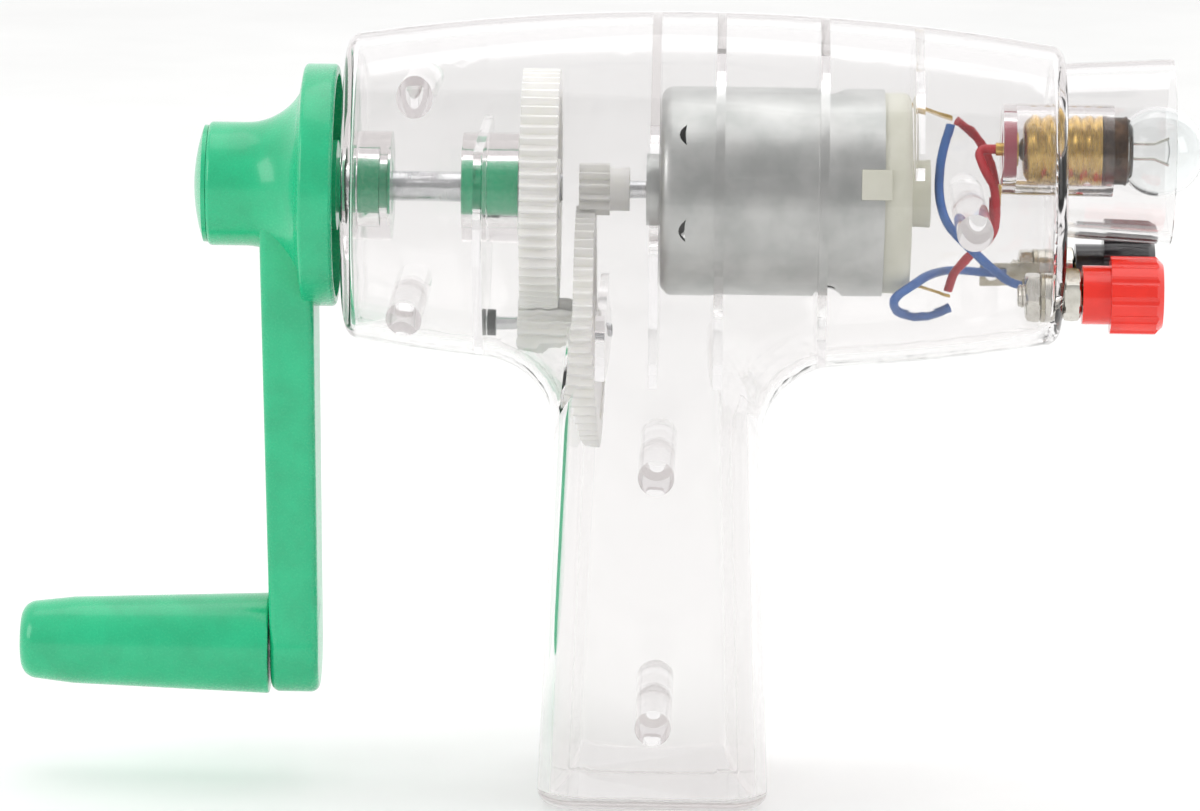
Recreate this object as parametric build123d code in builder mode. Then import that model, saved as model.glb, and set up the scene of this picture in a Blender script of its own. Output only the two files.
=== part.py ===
from build123d import *
from math import acos, cos, pi, radians, sin, tan
import os

os.makedirs("parts", exist_ok=True)

# A hand crank generator in a clear pistol-shaped housing. All sizes are in millimetres.
# X runs along the crank, gear and motor axis, towards the lamp. Z is up. The housing parts
# at Y = 0. The origin is the middle of the flat foot of the grip.

# ---- Fits ----
running = 0.05  # radial clearance of a shaft or bush that turns
seated = 0.02  # clearance of a piece that is pressed or set in place
face_gap = 0.1  # clearance between a turning face and a standing one

# ---- Housing ----
axis_z = 80.8  # height of the crank and motor axis
wall = 1.6
barrel_left = -41.9
barrel_right = 53.3
barrel_left_radius = 20.15
barrel_right_radius = 19.7
barrel_belly_x = 4.0
barrel_belly_radius = 23.85
barrel_corner = 2.2
grip_foot_width = 30.8
grip_neck_width = 27.3
grip_neck_z = 47.9
grip_depth = 37.6
grip_corner = 5.5
neck_fillet = 10.5
foot_fillet = 2.0
rib = 1.2
least_fillet = 0.3

# ---- Pegs that join the two halves ----
peg_radius = 2.4
peg_pin_radius = 1.2
peg_pin_length = 3.0
upper_peg = (-32.2, 94.2)
lower_peg = (-33.5, 65.6)
rear_peg = (41.1, 78.6)
neck_peg = (0.0, 45.0)
foot_peg = (0.0, 11.3)

# ---- Gears ----
gear_module = 0.5
pressure_angle = radians(20)
tooth_thinning = 0.06  # taken off each flank, for backlash
addendum = 1.0  # in modules
dedendum = 1.25  # in modules
gear_teeth = 62
pinion_teeth = 12
drive_gear_left = -18.5
drive_gear_width = 5.0
drive_gear_hub_radius = 4.0
gear_rim = 2.6
gear_web = 2.0
reduction_gear_left = -11.3
reduction_gear_width = 2.6
reduction_pinion_left = -18.9
motor_pinion_left = -10.9
motor_pinion_teeth_length = 4.1
motor_pinion_collar = 2.6
motor_pinion_collar_radius = 2.9

# ---- Crank shaft and its bushes ----
crank_shaft_radius = 2.0
crank_shaft_right = -13.1
bush_radius = 3.7
bush_groove_radius = 3.0
bush_groove = 1.2
outer_bush_lead = 2.8  # from the bush's left end to its groove
inner_bush_lead = 2.1
outer_bush_left = -40.3
outer_bush_right = -35.8
inner_bush_left = -26.4
inner_bush_right = -18.9
saddle_radius = 7.3

# ---- Layshaft ----
layshaft_radius = 1.0
layshaft_overhang = 0.6
layshaft_washer_radius = 2.2
layshaft_washer = 0.35
layshaft_collar = 1.1
layshaft_collar_radius = 1.9
gear_relief = 0.4  # clearance round the reduction gear where it turns close to the neck

# ---- Crank ----
crank_radius = 62.5  # from the crank shaft's axis to the knob's
hub_left = -60.3
hub_radius = 8.25
flare_left = -55.3
flare_right = -48.2
flare_radius = 12.35
disc_left = -47.5
disc_right = -43.1
disc_radius = 16.15
disc_edge = 0.6
disc_recess = 3.4
disc_rim = 1.3
disc_boss_radius = 6.0
arm_top_x = -49.75
arm_top_thickness = 7.2
arm_top_width = 14.5
arm_end_x = -48.35
arm_end_thickness = 6.5
arm_end_width = 12.6
arm_corner = 1.0
eye_radius = 6.5
eye_edge = 1.2
screw_radius = 1.5
screw_head_radius = 2.9
screw_head = 2.0
screw_length = 6.5
screw_seat = 1.6  # web of the hub that the screw clamps against the shaft
screw_pocket_radius = 4.2
screw_pocket = 3.5
cap_radius = 7.8
cap_dome = 1.9
cap_spigot = 1.2

# ---- Knob ----
knob_length = 33.6
knob_gap = 0.3
knob_right_radius = 6.8
knob_waist_radius = 5.85
knob_waist = 26.5  # from the knob's right end to where its taper steepens
knob_left_radius = 5.0
knob_end_round = 2.2
pin_radius = 2.0
pin_head_radius = 2.8
pin_head = 1.6
pin_length = 26.4  # from the crank's eye to the pin's head

# ---- Motor ----
motor_turn = 12.5  # degrees that the motor lies turned about its axis
can_radius = 13.85
can_length = 29.5
can_wall = 1.0
can_round = 1.6
dimple_radius = 2.1
dimple_depth = 1.3
dimple_x = 22.3
vent_x = 3.6
vent_width = 0.8
vent_radius = 3.4  # of the vent's curve
vent_span = 50.0  # degrees of that curve
vent_spread = 27.0  # degrees from the motor's side to each vent
front_boss_radius = 4.8
front_boss = 2.0
motor_bush_radius = 3.0
motor_shaft_radius = 1.15
motor_shaft_left = -10.4
motor_shaft_right = 35.2
end_bell_radius = 13.4
end_bell = 3.6
end_bell_spigot = 0.8
end_bell_round = 1.2
rear_boss_radius = 4.5
rear_boss = 2.7
lug_width = 4.0
lug_length = 3.1
magnet_thickness = 2.9
magnet_left = 4.0
magnet_right = 24.0
magnet_span = 110.0  # degrees
air_gap = 0.5
core_left = 6.0
core_right = 22.0
core_hub_radius = 3.6
core_arm = 3.0
core_shoe = 1.5
core_shoe_span = 96.0  # degrees
coil_thickness = 2.5
commutator_left = 24.9
commutator_right = 28.4
commutator_radius = 2.9
tag_height = 11.9
tag_thickness = 0.4
tag_width = 2.0
tag_reach = 5.5
tag_bend = 1.8
brush_x = 26.6
brush_height = 2.5
cradle_xs = (7.2, 20.8)

# ---- Lamp ----
lamp_rise = 6.1  # of the lamp's axis above the motor's
guard_length = 14.4
guard_root_radius = 11.5
guard_rim_radius = 12.35
guard_wall = 1.3
holder_left = 45.2
holder_right = 59.9
holder_radius = 6.15
holder_seat = 1.8
insulator_radius = 3.75
insulator = 1.6
contact_head_radius = 2.2
contact_head = 0.35
contact_rivet_radius = 0.8
bulb_tip_radius = 1.6
bulb_tip = 0.65
bulb_base_radius = 4.7
bulb_base_length = 10.3
bulb_base_wall = 0.35
bulb_collar_radius = 4.6
bulb_collar = 3.45
glass_wall = 0.5
glass_neck_radius = 4.2
globe_radius = 6.0
globe_x = 66.1
bead_radius = 0.7
bead_length = 0.8
lead_radius = 0.2
lead_spread = 1.0
lead_tip_spread = 1.8
lead_length = 4.8
filament_radius = 0.12
side_contact_width = 2.4
side_contact_thickness = 0.3
side_contact_right = 56.0

# ---- Binding posts ----
post_drop = 11.8  # of the posts' axes below the motor's
post_spacing = 19.0
stud_radius = 1.5
stud_left = 47.2
stud_right = 63.4
outer_nut_across_flats = 6.2
inner_nut_across_flats = 5.5
outer_nut = 2.3
inner_nut = 2.0
lug_thickness = 0.5
lug_ring_radius = 3.0
lug_tail_height = 3.2
black_lug_tail = 7.3
red_lug_tail = 2.2
lug_eye_radius = 0.9
cap_gap = 0.2
post_cap_length = 10.6
post_neck_length = 3.7
post_neck_radius = 3.9
post_grip_radius = 5.15
post_flutes = 12
post_flute_radius = 0.9
post_flute_depth = 0.35
post_chamfer = 0.95
insert_radius = 2.6
insert_length = 8.0

# ---- Wires ----
wire_radius = 0.6

# ---- Places worked out from the sizes ----
layshaft_drop = gear_module * (gear_teeth + pinion_teeth) / 2
layshaft_z = axis_z - layshaft_drop
knob_z = axis_z - crank_radius
lamp_z = axis_z + lamp_rise
post_z = axis_z - post_drop
near_post_y = -post_spacing / 2
far_post_y = post_spacing / 2
can_bore = can_radius - can_wall
wall_face = barrel_right - wall
washer_left = wall_face - 2 * lug_thickness
ring_left = washer_left - lug_thickness
lug_reach = inner_nut_across_flats / 2 / cos(pi / 6) + face_gap + lug_thickness
inner_web_left = inner_bush_left + inner_bush_lead
inner_web_right = inner_web_left + bush_groove
reduction_gear_right = reduction_gear_left + reduction_gear_width
lay_rib_left = reduction_gear_right + layshaft_washer + 1.5 * face_gap
eye_left = arm_end_x - arm_end_thickness / 2
eye_right = arm_end_x + arm_end_thickness / 2
knob_right = eye_left - knob_gap
motor_rear = can_length + end_bell
peg_places = (upper_peg, lower_peg, rear_peg, neck_peg, foot_peg)


def station(x, y=0, z=axis_z):
    """The plane across the X direction at x, whose own x and y run along Y and Z."""
    return Plane(origin=(x, y, z), x_dir=(0, 1, 0), z_dir=(1, 0, 0))


def side_plane(y=0, z=axis_z):
    """The upright plane along X, whose own y is the height over z."""
    return Plane(origin=(0, y, z), x_dir=(1, 0, 0), z_dir=(0, -1, 0))


def long_axis(y=0, z=axis_z):
    return Axis((0, y, z), (1, 0, 0))


def turned(outline, y=0, z=axis_z):
    """A solid turned about the line along X at y and z, from (x, radius) points."""
    with BuildPart() as piece:
        with BuildSketch(side_plane(y, z)):
            with BuildLine():
                Polyline(*outline, close=True)
            make_face()
        revolve(axis=long_axis(y, z))
    return piece.part


def rod(x0, x1, radius, y=0, z=axis_z):
    """A round bar along X."""
    return turned([(x0, 0), (x0, radius), (x1, radius), (x1, 0)], y, z)


def tube(x0, x1, radius, bore, y=0, z=axis_z):
    """A round tube along X."""
    return turned([(x0, bore), (x0, radius), (x1, radius), (x1, bore)], y, z)


# ---------------------------------------------------------------- housing


def housing_body(inset):
    """The housing's outside form, or the same form set in by an inset all round."""
    slope = (grip_foot_width - grip_neck_width) / 2 / grip_neck_z
    grip_top = axis_z - barrel_belly_radius / 2
    foot_half = grip_foot_width / 2 - inset
    top_half = grip_foot_width / 2 - slope * grip_top - inset
    with BuildPart() as body:
        with BuildSketch(Plane.XZ):
            with BuildLine():
                Polyline(
                    (-foot_half, inset),
                    (foot_half, inset),
                    (top_half, grip_top),
                    (-top_half, grip_top),
                    close=True,
                )
            make_face()
        extrude(amount=grip_depth / 2 - inset, both=True)
        upright = body.edges().filter_by(Axis.Y, reverse=True).filter_by(Axis.X, reverse=True)
        fillet(upright, grip_corner)
        with BuildSketch(side_plane()) as profile:
            with BuildLine():
                belly = ThreePointArc(
                    (barrel_left + inset, barrel_left_radius - inset),
                    (barrel_belly_x, barrel_belly_radius - inset),
                    (barrel_right - inset, barrel_right_radius - inset),
                )
                Polyline(belly @ 0, (barrel_left + inset, 0), (barrel_right - inset, 0), belly @ 1)
            make_face()
            fillet(
                profile.vertices().sort_by(Axis.Y)[-2:],
                max(barrel_corner - inset, least_fillet),
            )
        revolve(axis=long_axis())
        neck = body.edges().filter_by(GeomType.BSPLINE)
        fillet(neck, neck_fillet + inset)
        if inset < foot_fillet:
            fillet(body.edges().group_by(Axis.Z)[0], foot_fillet - inset)
    return body.part


# Saddles, ribs and pegs, each reaching into the middle of the wall.
with BuildPart() as ribs:
    barrel_floor = axis_z - barrel_belly_radius
    with BuildSketch(Plane.XZ):
        # the web that carries the inner bush and the layshaft's left end
        with Locations((inner_web_left, barrel_floor)):
            Rectangle(
                bush_groove,
                barrel_belly_radius + saddle_radius,
                align=(Align.MIN, Align.MIN),
            )
        # the rib that carries the layshaft's right end
        with Locations((lay_rib_left, layshaft_z)):
            Rectangle(rib, 9 * layshaft_radius, align=(Align.MIN, Align.CENTER))
        # the motor's front plate and its two cradle ribs
        for left in (-rib - face_gap, *cradle_xs):
            with Locations((left, barrel_floor)):
                Rectangle(rib, 2 * barrel_belly_radius, align=(Align.MIN, Align.MIN))
        # the stop behind the motor, in the upper half only
        with Locations((motor_rear + face_gap, axis_z + rear_boss_radius)):
            Rectangle(rib, barrel_belly_radius, align=(Align.MIN, Align.MIN))
        with Locations(*peg_places):
            Circle(peg_radius)
    extrude(amount=barrel_belly_radius, both=True)
    add(rod(barrel_left, outer_bush_right, saddle_radius))
    add(rod(inner_bush_left, inner_bush_right, saddle_radius))
    add(housing_body(wall / 2), mode=Mode.INTERSECT)

# The lamp guard and the lamp holder, which stand in the right end wall.
with BuildPart() as lamp_tubes:
    guard_left = barrel_right - wall / 2
    guard_right = barrel_right + guard_length
    add(
        turned(
            [
                (guard_left, guard_root_radius - guard_wall),
                (guard_left, guard_root_radius),
                (guard_right, guard_rim_radius),
                (guard_right, guard_rim_radius - guard_wall),
            ],
            z=lamp_z,
        )
    )
    add(rod(holder_left, holder_right, holder_radius, z=lamp_z))

# Everything that is bored out of the housing's inner parts.
with BuildPart() as bores:
    # bores for the bushes, with a ridge left standing in each bush's groove
    for left, lead, right in (
        (outer_bush_left, outer_bush_lead, outer_bush_right),
        (inner_bush_left, inner_bush_lead, inner_bush_right),
    ):
        groove_left = left + lead
        groove_right = groove_left + bush_groove
        add(rod(left, groove_left, bush_radius + seated))
        add(rod(groove_left, groove_right, bush_groove_radius + seated))
        add(rod(groove_right, right, bush_radius + seated))
    # the crank shaft's way through the end wall
    add(rod(barrel_left, outer_bush_left, crank_shaft_radius + 4 * running))
    # the layshaft's bearings, and the relief that the reduction gear turns in
    bearing_right = lay_rib_left + rib
    add(rod(inner_web_left, bearing_right, layshaft_radius + running, z=layshaft_z))
    gear_sweep = gear_module * (gear_teeth / 2 + addendum) + gear_relief
    relief_left = reduction_gear_left - gear_relief
    relief_right = reduction_gear_right + layshaft_washer
    add(rod(relief_left, relief_right, gear_sweep, z=layshaft_z))
    # the motor's bed, the hole for its front boss and the opening behind it
    add(rod(-rib - face_gap, 0, front_boss_radius + rib))
    add(rod(0, motor_rear, can_radius + seated))
    add(rod(motor_rear, motor_rear + 2 * rib, end_bell_radius - end_bell_round))
    # the lamp holder: a seat for the insulator and a bore for the bulb's cap
    add(rod(holder_left, holder_left + holder_seat, insulator_radius + seated, z=lamp_z))
    add(
        rod(
            holder_left + holder_seat,
            holder_right,
            bulb_base_radius + 2 * running,
            z=lamp_z,
        )
    )
    # a slot in the bottom of that bore for the side contact
    with BuildSketch(station(holder_left, z=lamp_z - bulb_base_radius)):
        Rectangle(
            side_contact_width + 2 * seated,
            2 * side_contact_thickness + 6 * running,
        )
    extrude(amount=side_contact_right - holder_left + seated)
    # the holes for the binding posts, and a flat seat inside each for its washer
    for post_y in (near_post_y, far_post_y):
        add(rod(wall_face, barrel_right, stud_radius + running, post_y, post_z))
        add(rod(ring_left, wall_face, lug_ring_radius + seated, post_y, post_z))

with BuildPart() as housing:
    add(housing_body(0))
    add(housing_body(wall), mode=Mode.SUBTRACT)
    add([ribs.part, lamp_tubes.part])
    add(bores.part, mode=Mode.SUBTRACT)

with BuildPart() as front_shell:
    add(housing.part)
    split(bisect_by=Plane.XZ, keep=Keep.TOP)
    with BuildSketch(Plane.XZ):
        with Locations(*peg_places):
            Circle(peg_pin_radius)
    extrude(amount=-peg_pin_length)
front_shell.part.label = "front_shell"
export_step(front_shell.part, "parts/front_shell.step")

with BuildPart() as rear_shell:
    add(housing.part)
    split(bisect_by=Plane.XZ, keep=Keep.BOTTOM)
    with BuildSketch(Plane.XZ):
        with Locations(*peg_places):
            Circle(peg_pin_radius + seated)
    extrude(amount=-peg_pin_length - face_gap, mode=Mode.SUBTRACT)
rear_shell.part.label = "rear_shell"
export_step(rear_shell.part, "parts/rear_shell.step")

# ---------------------------------------------------------------- bushes and shafts


def grooved_bush(left, lead, right):
    """A plastic bush for the crank shaft, with the groove that its saddle holds it by."""
    groove_left = left + lead
    groove_right = groove_left + bush_groove
    with BuildPart() as bush:
        add(tube(left, right, bush_radius, crank_shaft_radius + running))
        add(
            tube(groove_left, groove_right, bush_radius + seated, bush_groove_radius),
            mode=Mode.SUBTRACT,
        )
    return bush


outer_bush = grooved_bush(outer_bush_left, outer_bush_lead, outer_bush_right)
outer_bush.part.label = "outer_shaft_bush"
export_step(outer_bush.part, "parts/outer_shaft_bush.step")

inner_bush = grooved_bush(inner_bush_left, inner_bush_lead, inner_bush_right)
inner_bush.part.label = "inner_shaft_bush"
export_step(inner_bush.part, "parts/inner_shaft_bush.step")

shaft_left = hub_left + screw_pocket + screw_seat

with BuildPart() as crank_shaft:
    add(rod(shaft_left, crank_shaft_right, crank_shaft_radius))
    chamfer(crank_shaft.faces().sort_by(Axis.X)[-1].edges(), length=crank_shaft_radius / 6)
    add(
        rod(shaft_left, shaft_left + screw_length, screw_radius + seated),
        mode=Mode.SUBTRACT,
    )
crank_shaft.part.label = "crank_shaft"
export_step(crank_shaft.part, "parts/crank_shaft.step")

with BuildPart() as layshaft:
    add(
        rod(
            inner_web_left - layshaft_overhang,
            lay_rib_left + rib + layshaft_overhang,
            layshaft_radius,
            z=layshaft_z,
        )
    )
    ends = layshaft.faces().filter_by(GeomType.PLANE)
    chamfer(ends.edges(), length=layshaft_radius / 5)
layshaft.part.label = "layshaft"
export_step(layshaft.part, "parts/layshaft.step")

with BuildPart() as layshaft_collar_piece:
    collar_left = inner_web_right + face_gap
    add(
        tube(
            collar_left,
            collar_left + layshaft_collar,
            layshaft_collar_radius,
            layshaft_radius + seated,
            z=layshaft_z,
        )
    )
layshaft_collar_piece.part.label = "layshaft_collar"
export_step(layshaft_collar_piece.part, "parts/layshaft_collar.step")

with BuildPart() as layshaft_washer_piece:
    lay_washer_left = reduction_gear_right + face_gap
    add(
        tube(
            lay_washer_left,
            lay_washer_left + layshaft_washer,
            layshaft_washer_radius,
            layshaft_radius + seated,
            z=layshaft_z,
        )
    )
layshaft_washer_piece.part.label = "layshaft_washer"
export_step(layshaft_washer_piece.part, "parts/layshaft_washer.step")

# ---------------------------------------------------------------- gears


def roll(radius, base_radius):
    """The involute angle at a radius of a tooth drawn from a base circle."""
    angle = acos(base_radius / max(radius, base_radius))
    return tan(angle) - angle


def gear_points(teeth, first_tooth):
    """The outline of an involute gear whose first tooth points at an angle in degrees."""
    pitch_radius = gear_module * teeth / 2
    base_radius = pitch_radius * cos(pressure_angle)
    root = pitch_radius - dedendum * gear_module
    tip = pitch_radius + addendum * gear_module
    foot = max(root, base_radius)
    half_pitch = (pi * gear_module / 4 - tooth_thinning) / pitch_radius + roll(pitch_radius, base_radius)
    flank = [(foot + tip) / 2, tip]
    if root < base_radius:
        flank = [foot] + flank
    flank = [root] + flank
    points = []
    for tooth in range(teeth):
        middle = radians(first_tooth) + 2 * pi * tooth / teeth
        for side, radii in ((-1, flank), (1, reversed(flank))):
            for radius in radii:
                angle = middle + side * (half_pitch - roll(radius, base_radius))
                points.append((radius * cos(angle), radius * sin(angle)))
    return points


down = -90.0
up = 90.0
half_pinion_pitch = 180.0 / pinion_teeth
gear_root_radius = gear_module * (gear_teeth / 2 - dedendum)

with BuildPart() as drive_gear:
    with BuildSketch(station(drive_gear_left)):
        with BuildLine():
            Polyline(*gear_points(gear_teeth, down), close=True)
        make_face()
    extrude(amount=drive_gear_width)
    recess = (drive_gear_width - gear_web) / 2
    for left in (drive_gear_left, drive_gear_left + drive_gear_width - recess):
        add(
            tube(left, left + recess, gear_root_radius - gear_rim, drive_gear_hub_radius),
            mode=Mode.SUBTRACT,
        )
    add(rod(inner_bush_right + face_gap, drive_gear_left, drive_gear_hub_radius))
    add(
        rod(inner_bush_right, drive_gear_left + drive_gear_width, crank_shaft_radius + seated),
        mode=Mode.SUBTRACT,
    )
drive_gear.part.label = "drive_gear"
export_step(drive_gear.part, "parts/drive_gear.step")

with BuildPart() as reduction_gear:
    with BuildSketch(station(reduction_gear_left, z=layshaft_z)):
        with BuildLine():
            Polyline(*gear_points(gear_teeth, up), close=True)
        make_face()
    extrude(amount=reduction_gear_width)
    add(
        tube(
            reduction_gear_right - reduction_gear_width / 3,
            reduction_gear_right,
            gear_root_radius - gear_rim,
            drive_gear_hub_radius,
            z=layshaft_z,
        ),
        mode=Mode.SUBTRACT,
    )
    with BuildSketch(station(reduction_pinion_left, z=layshaft_z)):
        with BuildLine():
            Polyline(*gear_points(pinion_teeth, up + half_pinion_pitch), close=True)
        make_face()
    extrude(amount=reduction_gear_left - reduction_pinion_left)
    add(
        rod(
            reduction_pinion_left,
            reduction_gear_right,
            layshaft_radius + seated,
            z=layshaft_z,
        ),
        mode=Mode.SUBTRACT,
    )
reduction_gear.part.label = "reduction_gear"
export_step(reduction_gear.part, "parts/reduction_gear.step")

with BuildPart() as motor_pinion:
    with BuildSketch(station(motor_pinion_left)):
        with BuildLine():
            Polyline(*gear_points(pinion_teeth, down + half_pinion_pitch), close=True)
        make_face()
    extrude(amount=motor_pinion_teeth_length)
    collar_start = motor_pinion_left + motor_pinion_teeth_length
    add(rod(collar_start, collar_start + motor_pinion_collar, motor_pinion_collar_radius))
    add(
        rod(
            motor_pinion_left,
            collar_start + motor_pinion_collar,
            motor_shaft_radius + seated,
        ),
        mode=Mode.SUBTRACT,
    )
motor_pinion.part.label = "motor_pinion"
export_step(motor_pinion.part, "parts/motor_pinion.step")

# ---------------------------------------------------------------- crank and knob

# The round eye at the arm's end, which carries the knob's pin.
with BuildPart() as crank_eye:
    add(rod(eye_left, eye_right, eye_radius, z=knob_z))
    fillet(crank_eye.edges().filter_by(GeomType.CIRCLE), eye_edge)

with BuildPart() as crank_arm:
    # the disc and its hub, with a hollow flare between them
    with BuildSketch(side_plane()) as crank_profile:
        with BuildLine():
            flare_run = flare_right - flare_left
            flare_rise = flare_radius - hub_radius
            flare_arc = (flare_run**2 + flare_rise**2) / (2 * flare_rise)
            flare = RadiusArc((flare_left, hub_radius), (flare_right, flare_radius), -flare_arc)
            Polyline(flare @ 0, (hub_left, hub_radius), (hub_left, 0), (disc_right, 0))
            Polyline((disc_right, 0), (disc_right, disc_radius), (disc_left, disc_radius))
            Line((disc_left, disc_radius), flare @ 1)
        make_face()
        rim = crank_profile.vertices().sort_by(Axis.Y)[-2:]
        fillet(rim, disc_edge)
        shoulder = crank_profile.vertices().group_by(Axis.X)[0].sort_by(Axis.Y)[-1]
        fillet(shoulder, disc_edge)
    revolve(axis=long_axis())
    # the arm, which narrows towards the knob
    with BuildSketch(Plane.XY.offset(axis_z)) as arm_top:
        with Locations((arm_top_x, 0)):
            Rectangle(arm_top_thickness, arm_top_width)
        fillet(arm_top.vertices(), arm_corner)
    with BuildSketch(Plane.XY.offset(knob_z)) as arm_end:
        with Locations((arm_end_x, 0)):
            Rectangle(arm_end_thickness, arm_end_width)
        fillet(arm_end.vertices(), arm_corner)
    loft()
    add(crank_eye.part)
    add(
        rod(knob_right, eye_right - eye_edge, pin_radius + seated, z=knob_z),
        mode=Mode.SUBTRACT,
    )
    # the hollow back of the disc, and the boss that runs against the outer bush
    add(
        tube(
            disc_right - disc_recess,
            disc_right,
            disc_radius - disc_rim,
            disc_boss_radius,
        ),
        mode=Mode.SUBTRACT,
    )
    add(rod(disc_right, barrel_left - face_gap, bush_radius))
    # the bore for the shaft, the screw's seat and the pocket under the cap
    add(
        turned(
            [
                (barrel_left, 0),
                (barrel_left, crank_shaft_radius + seated),
                (shaft_left, crank_shaft_radius + seated),
                (shaft_left, screw_radius + running),
                (hub_left + screw_pocket, screw_radius + running),
                (hub_left + screw_pocket, screw_pocket_radius),
                (hub_left, screw_pocket_radius),
                (hub_left, 0),
            ]
        ),
        mode=Mode.SUBTRACT,
    )
crank_arm.part.label = "crank_arm"
export_step(crank_arm.part, "parts/crank_arm.step")

with BuildPart() as crank_screw:
    seat_x = hub_left + screw_pocket
    add(rod(seat_x - screw_head, seat_x, screw_head_radius))
    fillet(crank_screw.faces().sort_by(Axis.X)[0].edges(), screw_head / 3)
    add(rod(seat_x, seat_x + screw_seat + screw_length - seated, screw_radius))
crank_screw.part.label = "crank_screw"
export_step(crank_screw.part, "parts/crank_screw.step")

with BuildPart() as crank_cap:
    with BuildSketch(side_plane()):
        with BuildLine():
            rim_x = hub_left - seated
            dome = ThreePointArc(
                (rim_x - cap_dome, 0),
                (rim_x - cap_dome * 0.82, cap_radius / 2),
                (rim_x - cap_dome * 0.3, cap_radius),
            )
            Polyline(dome @ 1, (rim_x, cap_radius), (rim_x, 0), dome @ 0)
        make_face()
    revolve(axis=long_axis())
    add(rod(rim_x, hub_left + cap_spigot, screw_pocket_radius - seated))
crank_cap.part.label = "crank_cap"
export_step(crank_cap.part, "parts/crank_cap.step")

head_right = eye_left - pin_length

with BuildPart() as knob_pin:
    add(rod(head_right, eye_right - eye_edge - seated, pin_radius, z=knob_z))
    add(rod(head_right - pin_head, head_right, pin_head_radius, z=knob_z))
    fillet(knob_pin.faces().sort_by(Axis.X)[0].edges(), pin_head / 3)
knob_pin.part.label = "knob_pin"
export_step(knob_pin.part, "parts/knob_pin.step")

with BuildPart() as crank_knob:
    with BuildSketch(side_plane(z=knob_z)) as knob_profile:
        with BuildLine():
            Polyline(
                (knob_right, 0),
                (knob_right, knob_right_radius),
                (knob_right - knob_waist, knob_waist_radius),
                (knob_right - knob_length, knob_left_radius),
                (knob_right - knob_length, 0),
                close=True,
            )
        make_face()
        corners = knob_profile.vertices().sort_by(Axis.Y)
        fillet(corners[-3], knob_end_round)
        fillet(knob_profile.vertices().sort_by(Axis.Y)[-1], least_fillet)
    revolve(axis=long_axis(z=knob_z))
    add(
        rod(head_right + face_gap, knob_right, pin_radius + running, z=knob_z),
        mode=Mode.SUBTRACT,
    )
    add(
        rod(
            head_right - pin_head - face_gap,
            head_right + face_gap,
            pin_head_radius + 2 * running,
            z=knob_z,
        ),
        mode=Mode.SUBTRACT,
    )
crank_knob.part.label = "crank_knob"
export_step(crank_knob.part, "parts/crank_knob.step")

# ---------------------------------------------------------------- motor


def motor_set(piece):
    """Turns a piece of the motor about the motor's axis to the way that it lies."""
    return piece.part.rotate(long_axis(), -motor_turn)


def ray_plane(angle):
    """The plane whose normal leaves the motor's axis sideways, raised by an angle in degrees."""
    return Plane(
        origin=(0, 0, axis_z),
        x_dir=(1, 0, 0),
        z_dir=(0, -cos(radians(angle)), sin(radians(angle))),
    )


with BuildPart() as can_form:
    add(rod(0, can_length, can_radius))
    fillet(can_form.faces().sort_by(Axis.X)[0].edges(), can_round)
    add(rod(can_wall, can_length, can_bore), mode=Mode.SUBTRACT)
    add(rod(-front_boss, can_wall, front_boss_radius))
    add(rod(-front_boss, can_wall, motor_bush_radius + seated), mode=Mode.SUBTRACT)
    # dimples in the top and the bottom
    with BuildSketch(side_plane()):
        for side in (-1, 1):
            with Locations((dimple_x, side * (can_radius + dimple_radius - dimple_depth))):
                Circle(dimple_radius)
    extrude(amount=can_radius, both=True, mode=Mode.SUBTRACT)
    # vents near the front and slots for the end bell's lugs, on both sides
    for side in (0, 180):
        for spread in (-vent_spread, vent_spread):
            with BuildSketch(ray_plane(side + spread)):
                # a crescent that opens towards the front
                vent_arc = CenterArc(
                    (vent_x - vent_radius, 0), vent_radius, -vent_span / 2, vent_span
                )
                SlotArc(vent_arc, vent_width)
            extrude(amount=can_radius + wall, mode=Mode.SUBTRACT)
        with BuildSketch(ray_plane(side)):
            with Locations((can_length - lug_length / 2, 0)):
                Rectangle(lug_length, lug_width)
        extrude(amount=can_radius + wall, mode=Mode.SUBTRACT)
motor_can = motor_set(can_form)
motor_can.label = "motor_can"
export_step(motor_can, "parts/motor_can.step")

with BuildPart() as end_bell_form:
    add(rod(can_length, motor_rear, end_bell_radius))
    fillet(end_bell_form.faces().sort_by(Axis.X)[-1].edges(), end_bell_round)
    add(rod(can_length - end_bell_spigot, can_length, can_bore - seated))
    add(rod(motor_rear, motor_rear + rear_boss, rear_boss_radius))
    # a lug on each side, which fills the can's slot
    lug_span = 2 * (can_radius + seated)
    with BuildSketch(Plane.XY.offset(axis_z)):
        with Locations((can_length - (lug_length - seated) / 2 + end_bell / 8, 0)):
            Rectangle(lug_length - seated + end_bell / 4, lug_span)
    extrude(amount=lug_width / 2 - seated, both=True)
    add(
        tube(
            can_length - lug_length - seated,
            can_length + end_bell,
            2 * can_radius,
            can_radius,
        ),
        mode=Mode.SUBTRACT,
    )
    add(
        rod(can_length - lug_length - seated, can_length - end_bell_spigot, can_bore + seated),
        mode=Mode.SUBTRACT,
    )
    # slots for the two terminals
    with BuildSketch(side_plane()):
        for side in (-1, 1):
            with Locations((can_length, side * tag_height)):
                Rectangle(3 * end_bell, tag_thickness + 2 * seated)
    extrude(amount=tag_width / 2 + seated, both=True, mode=Mode.SUBTRACT)
    add(
        rod(can_length - end_bell_spigot, motor_rear + rear_boss, motor_bush_radius + seated),
        mode=Mode.SUBTRACT,
    )
motor_end_bell = motor_set(end_bell_form)
motor_end_bell.label = "motor_end_bell"
export_step(motor_end_bell, "parts/motor_end_bell.step")

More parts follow.
